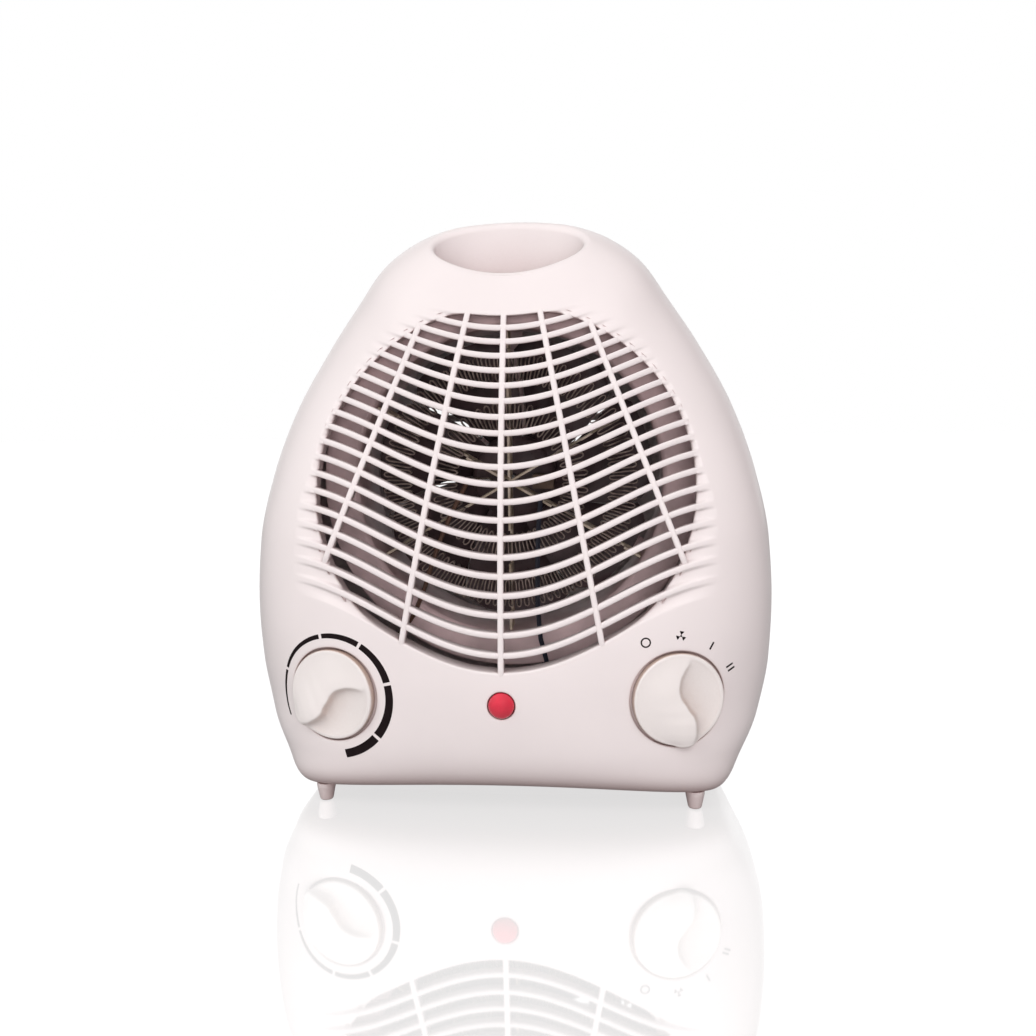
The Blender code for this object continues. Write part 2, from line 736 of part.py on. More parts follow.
lamp_y = face_y(0, LAMP_Z)
turned("lamp_lens", (0, lamp_y, LAMP_Z), (0, -1, 0),
       [(0, 2.6), (2.2, 2.4), (4.2, 1.6), (LAMP_R, -0.2), (LAMP_R, -6.0), (4.0, -6.0), (4.0, -0.6), (0, 0.4)], LENS, 20)
turned("neon_lamp", (0, lamp_y, LAMP_Z), (0, -1, 0),
       [(0, -1.2), (1.8, -1.8), (3.0, -4.0), (3.0, -15.0), (0, -15.0)], GLASS, 12)

# ---------------------------------------------------------------- air duct
duct = turned("air_duct", (0, 0, FAN_Z), (0, 1, 0),
              [(DUCT_R, DUCT_Y[0]), (FLANGE_R, DUCT_Y[0]), (FLANGE_R, DUCT_Y[0] + 2), (DUCT_R + 2, DUCT_Y[0] + 3),
               (DUCT_R + 2, DUCT_Y[1]), (DUCT_R, DUCT_Y[1])], DUCT, 40)
arms = [rod_data((0, 22.0, FAN_Z), (0, 1, 0), 24.5, 2.0, 20)]
for i in range(3):
    a = math.radians(90 + 120 * i)
    d = Vector((math.cos(a), 0, math.sin(a)))
    w = Vector((-d.z, 0, d.x)) * 3.5
    c = Vector((0, 21.9, FAN_Z))
    arms.append(prism_data([c + d * 20 - w, c + d * 69.6 - w, c + d * 69.6 + w, c + d * 20 + w], (0, 2.0, 0)))
hub_arms = several("duct_arms_tool", arms[:1])
for i, data in enumerate(arms[1:]):
    boolean(duct, several("duct_arm_%d" % i, [data]), "UNION")
boolean(duct, hub_arms, "UNION")
lugs = []
for x, z in duct_posts:
    d = Vector((x, 0, z - FAN_Z)).normalized()
    w = Vector((-d.z, 0, d.x)) * 4.5
    c = Vector((0, 21.4, FAN_Z))
    lugs.append(prism_data([c + d * 69.4 - w, c + d * 81 - w, c + d * 81 + w, c + d * 69.4 + w], (0, 2.6, 0)))
boolean(duct, several("duct_lugs_tool", lugs), "UNION")
holes = [rod_data((0, 10.0, FAN_Z), (0, 1, 0), 9.0, 30.0, 16),
         prism_data([(-60, -30, FAN_Z + 70.9), (60, -30, FAN_Z + 70.9), (60, -30, FAN_Z + 90), (-60, -30, FAN_Z + 90)], (0, 20, 0))]
for s in (-1, 1):
    holes.append(rod_data((s * 20.0, 10.0, FAN_Z), (0, 1, 0), 2.1, 30.0, 10))
for x, z in duct_posts:
    holes.append(rod_data((x, 10.0, z), (0, 1, 0), 1.9, 20.0, 8))
boolean(duct, several("duct_holes_tool", holes), "DIFFERENCE")


def screw(name, tip, axis, shank, length, head_r, head_h, mat=STEEL, sides=10):
    """A screw from its tip: axis points from the tip to the head."""
    return turned(name, tip, axis, [(0, 0), (shank * 0.4, 0), (shank, shank * 1.2), (shank, length), (head_r, length),
                                    (head_r, length + head_h * 0.6), (head_r * 0.7, length + head_h), (0, length + head_h)],
                  mat, sides)


for i, (x, z) in enumerate(duct_posts):
    screw("duct_screw_%d" % (i + 1), (x, 36.0, z), (0, -1, 0), 1.35, 14.9, 2.9, 1.8, STEEL, 8)
for i, (x, z) in enumerate(CASE_POSTS):
    y0 = seam_y(z) - 10.5
    screw("case_screw_%d" % (i + 1), (x, y0, z), (0, 1, 0), 1.5, 19.8, 2.9, 2.0, STEEL, 8)

# ---------------------------------------------------------------- heating element
EL_Y = (-17.0, -4.0)
COIL_Y = -13.6
BOARD_R = 67.8
board_angles = (30.0, 90.0, 150.0)
laps = ((-17.0, -12.9), (-12.5, -8.5), (-8.1, -4.0))
for n, (deg, lap) in enumerate(zip(board_angles, laps)):
    a = math.radians(deg)
    d = Vector((math.cos(a), 0, math.sin(a)))
    nrm = Vector((-d.z, 0, d.x))

    def at(u, y):
        return Vector((0, y, FAN_Z)) + d * u - nrm * 0.5

    f, b = EL_Y
    deep = -9.5
    prof = [(-BOARD_R, f), (-59.5, f), (-59.5, deep), (-43.0, deep), (-43.0, f), (-37.5, f), (-37.5, deep),
            (-22.0, deep), (-22.0, f)]
    if lap[0] > f:
        prof += [(-2.4, f), (-2.4, lap[0]), (2.4, lap[0]), (2.4, f)]
    prof += [(22.0, f), (22.0, deep), (37.5, deep), (37.5, f), (43.0, f), (43.0, deep), (59.5, deep), (59.5, f),
             (BOARD_R, f), (BOARD_R, b)]
    if lap[1] < b:
        prof += [(2.4, b), (2.4, lap[1]), (-2.4, lap[1]), (-2.4, b)]
    prof += [(-BOARD_R, b)]
    prism("mica_board_%d" % (n + 1), [at(u, y) for u, y in prof], nrm * 1.0, MICA)


def zigzag(name, r0, r1, teeth):
    path = []
    for i in range(teeth * 2):
        a = 2 * math.pi * (i + 0.5) / (teeth * 2)
        r = r0 if i % 2 else r1
        path.append((r * math.cos(a), COIL_Y, FAN_Z + r * math.sin(a)))
    return swept(name, path, [(-0.5, -1.6), (0.5, -1.6), (0.5, 1.6), (-0.5, 1.6)], NICHROME, True, (0, 1, 0), False)


zigzag("heating_coil_outer", 45.0, 57.5, 38)
zigzag("heating_coil_inner", 24.0, 35.5, 22)
block("thermal_cutout", (10.5, -15.6, FAN_Z - 3.2), (20.0, -7.0, FAN_Z + 3.2), PHENOLIC)
rod("thermal_fuse", (-20.5, -11.5, FAN_Z), (1, 0, 0), 1.8, 12.0, STEEL, 10, 0.4)

# ---------------------------------------------------------------- fan and motor
fan = turned("fan_impeller", (0, 0, FAN_Z), (0, 1, 0),
             [(SHAFT_R + GAP, 3.2), (14.0, 3.2), (18.5, 4.6), (20.0, 7.0), (20.0, 18.0), (17.6, 18.0), (17.6, 8.0),
              (5.0, 7.0), (5.0, 17.0), (SHAFT_R + GAP, 17.0)], BLACK, 28)
blades = []
for i in range(FAN_BLADES):
    a0 = 2 * math.pi * i / FAN_BLADES
    verts, faces = [], []
    steps = 3
    for j in range(steps + 1):
        t = j / steps
        r = 18.8 + (FAN_R - 18.8) * t
        sweep = math.radians(16.0) * t
        half = math.radians(19.0 - 3.0 * t)
        pitch_y = 5.6 - 1.0 * t
        for k, s in enumerate((-1, 1)):
            ang = a0 + sweep + s * half
            yc = 11.5 + s * pitch_y
            for th in (-0.7, 0.7):
                verts.append(Vector((r * math.cos(ang), yc + th, FAN_Z + r * math.sin(ang))))
    for j in range(steps):
        p, q = j * 4, j * 4 + 4
        for m, n in ((0, 1), (1, 3), (3, 2), (2, 0)):
            faces.append((p + m, p + n, q + n, q + m))
    faces += [(0, 2, 3, 1), (steps * 4, steps * 4 + 1, steps * 4 + 3, steps * 4 + 2)]
    blades.append((verts, faces))
boolean(fan, several("blades_tool", blades), "UNION")

rod("motor_shaft", (0, 1.6, FAN_Z), (0, 1, 0), SHAFT_R, 50.4, STEEL, 16, 0.3)
turned("motor_rotor", (0, 0, FAN_Z), (0, 1, 0),
       [(SHAFT_R + GAP, 31.2), (12.2, 31.2), (12.2, 44.8), (SHAFT_R + GAP, 44.8)], IRON, 24)
stator = prism("motor_stator", [(x, 30.0, FAN_Z + z) for x, z in
                                ((-24, 14), (-20, 18), (20, 18), (24, 14), (24, -38), (-24, -38))], (0, 16, 0), IRON)
holes = [rod_data((0, 25.0, FAN_Z), (0, 1, 0), 12.8, 30.0, 24),
         prism_data([(-14, 25, FAN_Z - 30), (14, 25, FAN_Z - 30), (14, 25, FAN_Z - 18), (-14, 25, FAN_Z - 18)], (0, 30, 0))]
for s in (-1, 1):
    holes.append(rod_data((s * 20.0, 25.0, FAN_Z), (0, 1, 0), 2.1, 30.0, 10))
boolean(stator, several("stator_holes_tool", holes), "DIFFERENCE")
coil = prism("motor_coil", [(-13.4, y, FAN_Z + z) for y, z in ((25, -45), (51, -45), (51, -21), (46.5, -18.6), (29.5, -18.6), (25, -21))],
             (26.8, 0, 0), BOBBIN)
core_gap = prism("coil_core_tool", [(-20, y, FAN_Z + z) for y, z in ((29.7, -38.3), (46.3, -38.3), (46.3, -29.7), (29.7, -29.7))],
                 (40, 0, 0), BOBBIN)
boolean(coil, core_gap, "DIFFERENCE")
for name, y0 in (("front_bearing_bracket", 27.0), ("rear_bearing_bracket", 46.4)):
    bar = prism(name, [(x, y0, FAN_Z + z) for x, z in ((-25, -5), (-9, -8), (9, -8), (25, -5), (25, 5), (9, 8), (-9, 8), (-25, 5))],
                (0, 1.8, 0), STEEL)
    holes = [rod_data((0, y0 - 5, FAN_Z), (0, 1, 0), 5.3, 15.0, 16)]
    for s in (-1, 1):
        holes.append(rod_data((s * 20.0, y0 - 5, FAN_Z), (0, 1, 0), 2.1, 15.0, 10))
    boolean(bar, several(name + "_tool", holes), "DIFFERENCE")
for name, y0 in (("front_bearing", 26.0), ("rear_bearing", 45.4)):
    turned(name, (0, y0, FAN_Z), (0, 1, 0), [(SHAFT_R + GAP, 0), (5.0, 0), (5.0, 4.2), (SHAFT_R + GAP, 4.2)], BRASS, 16)
for s, label in ((-1, "left"), (1, "right")):
    screw("motor_bolt_" + label, (s * 20.0, 52.0, FAN_Z), (0, -1, 0), 1.7, 30.3, 3.2, 1.6, STEEL, 10)
    turned("motor_nut_" + label, (s * 20.0, 48.5, FAN_Z), (0, 1, 0),
           [(2.0, 0), (3.4, 0), (3.4, 2.4), (2.0, 2.4)], STEEL, 6)

# ---------------------------------------------------------------- wiring
block("terminal_block", (28.0, 22.0, 15.0), (48.0, 36.0, 31.0), BLACK, 0.8)


def wire(name, points, mat, radius=1.1, steps=3, sides=5):
    return swept(name, spline(points, steps), circle_section(radius, sides), mat, False, (0, 0, 0))


sw = knob_base(1, -26.2)
th = knob_base(-1, -23.2)
wire("wire_supply_live", [(44.0, 21.4, 25.0), (48.0, 12.0, 24.0), (60.0, -6.0, 30.0), (sw.x + 2, sw.y + 6, 46.0), (sw.x + 1, sw.y + 0.6, 48.0)], WIRE_BROWN)
wire("wire_switch_to_thermostat", [(sw.x - 5, sw.y - 0.9 + 0.0, 44.0), (sw.x - 12, sw.y + 8, 38.0), (20.0, -16.0, 22.0), (-20.0, -16.0, 22.0), (-52.0, -14.0, 36.0), (th.x + 3, th.y + 8, 47.0), (th.x + 1.0, th.y + 0.5, 49.0)], WIRE_BROWN)
wire("wire_thermostat_to_element", [(th.x - 4.0, th.y + 2.2, 53.0), (-62.0, -14.0, 60.0), (-44.0, -21.6, 80.0), (-32.0, -22.0, 112.0), (-24.0, -19.5, 130.0), (-19.5, -15.4, 139.0)], WIRE_BROWN)
wire("wire_neutral", [(36.0, 21.4, 25.0), (30.0, 8.0, 26.0), (24.0, -20.0, 40.0), (14.0, -24.0, 70.0), (13.0, -21.5, 110.0), (14.5, -18.0, 135.0)], WIRE_BLUE)
wire("wire_motor", [(32.0, 20.4, 22.0), (22.0, 15.0, 28.0), (6.0, 28.0, 60.0), (4.0, 36.0, 80.0), (3.0, 38.0, FAN_Z - 45.6)], WIRE_BLUE)

# ---------------------------------------------------------------- supply cord
turned("cord_grip", (CORD_X, 0, CORD_Z), (0, 1, 0),
       [(3.7, 45.0), (5.9, 45.0), (5.9, 54.6), (8.6, 56.2), (8.6, 66.0), (5.2, 72.0), (4.6, 80.0), (3.7, 80.0)], BLACK, 16)
HANK = (0.0, 108.0)      # middle of the tied loops of cord behind the heater
HANK_A, HANK_B = 62.0, 24.0
HANK_TURNS = 3
HANK_PITCH = 7.0
CORD_R = 3.2
PLUG = (30.0, 108.0, 17.3)
path = [(CORD_X, 37.0, CORD_Z), (CORD_X, 60.0, CORD_Z), (CORD_X, 81.0, CORD_Z), (CORD_X + 1.0, 86.0, CORD_Z + 0.6), (52.0, 96.0, 28.4)]
n = HANK_TURNS * 20
for i in range(n + 1):
    t = i / 20.0
    a = 2 * math.pi * t
    z = 3.4 + HANK_PITCH * (HANK_TURNS - t) + 4.0 * max(0.0, 1.0 - 3.0 * t) ** 2
    path.append((HANK[0] + HANK_A * math.cos(a), HANK[1] + HANK_B * math.sin(a), z))
path += [(57.0, 115.5, 3.4), (48.0, 115.0, 5.5), (41.0, 110.0, 12.0), (35.0, 108.0, 17.0), (24.0, 108.0, 17.3)]
swept("power_cord", spline(path, 1), circle_section(CORD_R, 7), CORD, False, (0, 0, 0))
plug = turned("plug_body", PLUG, (-1, 0, 0),
              [(CORD_R + GAP, 0), (5.6, 0), (7.0, 9.0), (15.5, 17.0), (17.0, 19.0), (17.0, 36.0), (16.2, 37.0), (0, 37.0),
               (0, 14.0), (CORD_R + GAP, 14.0)], CORD, 24)
holes = [rod_data((PLUG[0] - 28.0, PLUG[1], PLUG[2] + s * 9.5), (-1, 0, 0), 2.7, 20.0, 10) for s in (-1, 1)]
boolean(plug, several("plug_holes_tool", holes), "DIFFERENCE")
for s, label in ((-1, "lower"), (1, "upper")):
    rod("plug_pin_" + label, (PLUG[0] - 28.5, PLUG[1], PLUG[2] + s * 9.5), (-1, 0, 0), 2.4, 27.5, STEEL, 12, 0.8)
tie = [(-3.1, 0.6), (3.1, 0.6), (3.9, 1.4), (3.9, 22.6), (3.1, 23.4), (-3.1, 23.4), (-3.9, 22.6), (-3.9, 1.4)]
yt = HANK[1] - HANK_B
swept("cable_tie", [(-18.0, yt + 1.0 + y, z) for y, z in tie], [(-0.45, -2.0), (0.45, -2.0), (0.45, 2.0), (-0.45, 2.0)],
      BLACK, True, (1, 0, 0), False)

# ---------------------------------------------------------------- joints
for name in ("fan_impeller", "motor_shaft", "motor_rotor"):
    set_origin(bpy.data.objects[name], 0, 10.0, FAN_Z)
for sign, names in ((-1, ("thermostat_knob", "thermostat_spindle")), (1, ("selector_knob", "switch_spindle"))):
    p = knob_base(sign)
    for name in names:
        set_origin(bpy.data.objects[name], p.x, p.y, p.z)
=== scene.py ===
"""The looks of the fan convector heater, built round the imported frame.

Lengths in this file are millimetres measured from the heater's own middle;
to_frame() turns them into the frame's metres."""

import math

import bmesh
import bpy
import numpy as np
from mathutils import Matrix, Vector
from mathutils.geometry import delaunay_2d_cdt


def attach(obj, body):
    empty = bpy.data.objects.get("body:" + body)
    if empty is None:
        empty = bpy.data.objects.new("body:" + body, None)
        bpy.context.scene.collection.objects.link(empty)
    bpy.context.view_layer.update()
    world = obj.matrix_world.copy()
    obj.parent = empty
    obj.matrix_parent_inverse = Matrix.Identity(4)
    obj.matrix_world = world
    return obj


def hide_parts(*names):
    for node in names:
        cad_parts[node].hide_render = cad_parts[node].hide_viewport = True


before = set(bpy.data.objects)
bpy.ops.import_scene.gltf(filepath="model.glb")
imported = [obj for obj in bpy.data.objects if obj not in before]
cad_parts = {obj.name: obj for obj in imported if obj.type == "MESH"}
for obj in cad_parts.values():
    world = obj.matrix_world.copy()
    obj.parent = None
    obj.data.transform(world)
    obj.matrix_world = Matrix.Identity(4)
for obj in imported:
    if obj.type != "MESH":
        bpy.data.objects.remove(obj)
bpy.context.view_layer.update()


Y_FRAME = 33.5


def to_frame(points):
    p = np.array(points, float).reshape(-1, 3).copy()
    p[:, 1] -= Y_FRAME
    return p * 0.001


# ------------------------------------------------------------ shape functions
TOP_Z = 258.0
MID_Z = 120.0
SEAM_Y = -12.0
SEAM_LEAN = 0.13
FLOOR_POWER = 9.0
OUTLINE = [(5.6, 90.0), (7.5, 95.0), (20.0, 103.0), (38.0, 111.4), (62.0, 116.3),
           (88.0, 117.4), (115.0, 116.0), (145.0, 110.0), (173.5, 100.0), (200.0, 85.8),
           (222.0, 71.3), (238.0, 60.0), (249.0, 45.5), (255.8, 27.0), (TOP_Z, 0.0)]
FRONT_POWER = [(6.0, 5.2), (25.0, 3.4), (50.0, 2.8), (80.0, 3.1), (120.0, 3.3), (160.0, 3.1), (200.0, 2.7),
               (TOP_Z, 2.6)]
REAR_POWER = [(6.0, 5.2), (30.0, 3.6), (70.0, 3.0), (TOP_Z, 2.8)]
FRONT_DEPTH = [(5.6, 50.0), (30.0, 54.0), (62.0, 58.0), (100.0, 59.5), (131.0, 58.5),
               (172.0, 54.5), (212.0, 52.0), (TOP_Z, 52.0)]
REAR_DEPTH = [(5.6, 62.0), (62.0, 64.0), (110.0, 60.0), (170.0, 50.0), (215.0, 42.0),
              (TOP_Z, 38.0)]
GRILLE_Z = 140.0
GRILLE_A = 81.5
GRILLE_B = 77.0
SLATS = 20
KNOB_X = 74.1
KNOB_Z = 52.2
KNOB_YAW = 16.5
KNOB_R = 19.7
RECESS_R = 20.6
LAMP_Z = 50.0
FAN_Z = 140.0
CASE_POSTS = [(-101.0, 82.0), (101.0, 82.0), (-57.0, 214.0), (57.0, 214.0), (-60.0, 21.0), (60.0, 21.0)]
SHELL_T = 2.2


def smooth_table(table):
    """Monotone cubic through (position, value) pairs, for arrays."""
    xs = np.array([p[0] for p in table], float)
    ys = np.array([p[1] for p in table], float)
    n = len(xs)
    d = np.diff(ys) / np.diff(xs)
    m = np.zeros(n)
    m[0], m[-1] = d[0], d[-1]
    for i in range(1, n - 1):
        if d[i - 1] * d[i] > 0:
            m[i] = 2.0 * d[i - 1] * d[i] / (d[i - 1] + d[i])

    def value(x):
        x = np.clip(x, xs[0], xs[-1])
        i = np.clip(np.searchsorted(xs, x, side="right") - 1, 0, n - 2)
        h = xs[i + 1] - xs[i]
        t = (x - xs[i]) / h
        return ((2 * t ** 3 - 3 * t ** 2 + 1) * ys[i] + (t ** 3 - 2 * t ** 2 + t) * h * m[i]
                + (3 * t ** 2 - 2 * t ** 3) * ys[i + 1] + (t ** 3 - t ** 2) * h * m[i + 1])
    return value


width_squared = smooth_table([(z, w * w) for z, w in OUTLINE])
depth_front, depth_rear = smooth_table(FRONT_DEPTH), smooth_table(REAR_DEPTH)
power_front, power_rear = smooth_table(FRONT_POWER), smooth_table(REAR_POWER)


def half_width(z):
    return np.sqrt(np.maximum(width_squared(z), 0.0))


def underside(x):
    return OUTLINE[0][0] + 3.6 * np.maximum(0.0, 1.0 - (x / 94.0) ** 2)


def inside(x, z):
    return (z <= TOP_Z) & (z >= underside(x)) & (np.abs(x) <= half_width(z))


def radius_from(z0, angles, test, far=190.0):
    """Distance along rays from (0, z0) to where a test stops holding."""
    lo, hi = np.full(len(angles), 1.0), np.full(len(angles), far)
    sx, cz = np.sin(angles), np.cos(angles)
    for _ in range(44):
        r = 0.5 * (lo + hi)
        ok = test(r * sx, z0 + r * cz)
        lo, hi = np.where(ok, r, lo), np.where(ok, hi, r)
    return lo


_ang = np.linspace(-math.pi, math.pi, 14401)
_rad = radius_from(MID_Z, _ang, inside)


def seam_y(z):
    return SEAM_Y + SEAM_LEAN * z


def bulge(x, z, side):
    n = power_front(z) if side < 0 else power_rear(z)
    r = np.hypot(x, z - MID_Z)
    s = np.clip(r / np.interp(np.arctan2(x, z - MID_Z), _ang, _rad), 0.0, 1.0)
    upper = np.maximum(0.0, 1.0 - s ** n) ** (1.0 / n)
    s2 = np.clip(np.abs(x) / np.maximum(half_width(z), 1e-6), 0.0, 1.0)
    t = np.clip((MID_Z - z) / (MID_Z - underside(x)), 0.0, 1.0)
    lower = np.maximum(0.0, 1.0 - s2 ** n) ** (1.0 / n) * np.maximum(0.0, 1.0 - t ** FLOOR_POWER) ** (1.0 / FLOOR_POWER)
    return np.where(z >= MID_Z, upper, lower)


def face_y(x, z, side=-1):
    x, z = np.asarray(x, float), np.asarray(z, float)
    depth = depth_front(z) if side < 0 else depth_rear(z)
    return seam_y(z) + side * depth * bulge(x, z, side)


def step(t):
    t = np.clip(t, 0.0, 1.0)
    return t * t * (3 - 2 * t)


def slat_z(k, x):
    wave = 0.5 * (1.0 - np.cos(math.pi * np.minimum(np.abs(x) / 95.0, 1.0)))
    return 213.4 - 5.71 * k - 0.07 * k * k + (22.0 + 0.45 * k) * wave


def slat_index(x, z):
    """The fractional number of the slat line through a point."""
    c = 0.5 * (1.0 - np.cos(math.pi * np.minimum(np.abs(x) / 95.0, 1.0)))
    b = 5.71 - 0.45 * c
    return (-b + np.sqrt(np.maximum(b * b + 0.28 * (213.4 + 22.0 * c - z), 0.0))) / 0.14


def inner_rib_x(z):
    t = 210.0 - z
    return 16.6 + 0.205 * t - 0.0001 * t * t


def outer_rib_x(z):
    return 40.8 + 0.392 * (200.0 - z)


def knob_axis(sign):
    a = math.radians(KNOB_YAW)
    return np.array([sign * math.sin(a), -math.cos(a), 0.0])


def knob_base(sign, out=0.0):
    return np.array([sign * KNOB_X, float(face_y(KNOB_X, KNOB_Z)), KNOB_Z]) + knob_axis(sign) * out


def on_dial(sign, a, b, lift=0.0):
    """Points of the front face over a knob's plane: a is across, b is up, as
    seen from in front of the knob; lift is the height above the face."""
    a, b = np.asarray(a, float), np.asarray(b, float)
    axis = knob_axis(sign)
    across = np.cross([0.0, 0.0, 1.0], axis)
    across /= np.linalg.norm(across)
    base = knob_base(sign)
    p = base + a[..., None] * across + b[..., None] * np.array([0.0, 0.0, 1.0])
    h = np.zeros(a.shape)
    for _ in range(12):
        q = p + h[..., None] * axis
        f = q[..., 1] - face_y(q[..., 0], q[..., 2])
        q2 = q + 0.01 * axis
        f2 = q2[..., 1] - face_y(q2[..., 0], q2[..., 2])
        h = h - np.clip(f / ((f2 - f) / 0.01), -3.0, 3.0)
    return p + (h + lift)[..., None] * axis


# ------------------------------------------------------------------ materials
def tree(name):
    m = bpy.data.materials.new(name)
    m.use_nodes = True
    t = m.node_tree
    return m, t, t.nodes["Principled BSDF"]


def put_input(b, name, value):
    if name in b.inputs:
        b.inputs[name].default_value = value


def surface(name, colour, rough=0.4, metal=0.0, vary=0.04, scale=60.0, fine=900.0, bump=0.02, rough_vary=0.08,
            tint=None, coat=0.0, spec=0.5, bump_far=0.0, wear=None, subsurface=0.0, painted_shade=None, reach=0.03, span=(0.15, 0.85)):
    """A moulded or worked surface: slow colour drift, a fine grain in bump
    and in roughness, paler or darker edges where it is worn, and painted shade
    towards painted_shade in hollows and crevices."""
    m, t, b = tree(name)
    n, link = t.nodes, t.links
    coord = n.new("ShaderNodeTexCoord")
    slow = n.new("ShaderNodeTexNoise")
    slow.inputs["Scale"].default_value = scale
    slow.inputs["Detail"].default_value = 4.0
    link.new(coord.outputs["Object"], slow.inputs["Vector"])
    grain = n.new("ShaderNodeTexNoise")
    grain.inputs["Scale"].default_value = fine
    grain.inputs["Detail"].default_value = 3.0
    link.new(coord.outputs["Object"], grain.inputs["Vector"])
    ramp = n.new("ShaderNodeMix")
    ramp.data_type = "RGBA"
    dark = tint if tint else tuple(c * (1.0 - vary * 2.0) for c in colour)
    light = tuple(min(1.0, c * (1.0 + vary * 0.6)) for c in colour)
    ramp.inputs["A"].default_value = (*dark, 1.0)
    ramp.inputs["B"].default_value = (*light, 1.0)
    spread = n.new("ShaderNodeMapRange")
    spread.inputs["From Min"].default_value = 0.30
    spread.inputs["From Max"].default_value = 0.62
    link.new(slow.outputs["Fac"], spread.inputs["Value"])
    link.new(spread.outputs["Result"], ramp.inputs["Factor"])
    colour_out = ramp.outputs["Result"]
    if wear:
        edge = n.new("ShaderNodeNewGeometry")
        sharp = n.new("ShaderNodeMapRange")
        sharp.inputs["From Min"].default_value = 0.52
        sharp.inputs["From Max"].default_value = 0.62
        link.new(edge.outputs["Pointiness"], sharp.inputs["Value"])
        rub = n.new("ShaderNodeMath")
        rub.operation = "MULTIPLY"
        link.new(sharp.outputs["Result"], rub.inputs[0])
        link.new(slow.outputs["Fac"], rub.inputs[1])
        over = n.new("ShaderNodeMix")
        over.data_type = "RGBA"
        over.inputs["B"].default_value = (*wear, 1.0)
        link.new(rub.outputs[0], over.inputs["Factor"])
        link.new(colour_out, over.inputs["A"])
        colour_out = over.outputs["Result"]
    # painted shade: an ambient-occlusion mask darkens the base colour towards painted_shade in hollows, crevices and
    # narrow gaps
    if painted_shade:
        ao = n.new("ShaderNodeAmbientOcclusion")
        ao.samples = 6
        ao.inputs["Distance"].default_value = reach
        open_to = n.new("ShaderNodeMapRange")
        open_to.inputs["From Min"].default_value = span[0]
        open_to.inputs["From Max"].default_value = span[1]
        link.new(ao.outputs["AO"], open_to.inputs["Value"])
        deep = n.new("ShaderNodeMix")
        deep.data_type = "RGBA"
        deep.inputs["A"].default_value = (*painted_shade, 1.0)
        link.new(open_to.outputs["Result"], deep.inputs["Factor"])
        link.new(colour_out, deep.inputs["B"])
        colour_out = deep.outputs["Result"]
    link.new(colour_out, b.inputs["Base Color"])
    rr = n.new("ShaderNodeMapRange")
    rr.inputs["To Min"].default_value = max(0.02, rough - rough_vary)
    rr.inputs["To Max"].default_value = min(1.0, rough + rough_vary)
    link.new(grain.outputs["Fac"], rr.inputs["Value"])
    link.new(rr.outputs["Result"], b.inputs["Roughness"])
    bp = n.new("ShaderNodeBump")
    bp.inputs["Strength"].default_value = bump * 10.0
    bp.inputs["Distance"].default_value = 0.00008
    link.new(grain.outputs["Fac"], bp.inputs["Height"])
    if bump_far:
        wavy = n.new("ShaderNodeBump")
        wavy.inputs["Strength"].default_value = bump_far
        wavy.inputs["Distance"].default_value = 0.0006
        link.new(slow.outputs["Fac"], wavy.inputs["Height"])
        link.new(wavy.outputs["Normal"], bp.inputs["Normal"])
    link.new(bp.outputs["Normal"], b.inputs["Normal"])
    put_input(b, "Metallic", metal)
    put_input(b, "Specular IOR Level", spec)
    put_input(b, "Coat Weight", coat)
    put_input(b, "Coat Roughness", 0.08)
    if subsurface:
        put_input(b, "Subsurface Weight", subsurface)
        put_input(b, "Subsurface Radius", (0.6, 0.45, 0.4))
        put_input(b, "Subsurface Scale", 0.002)
    return m


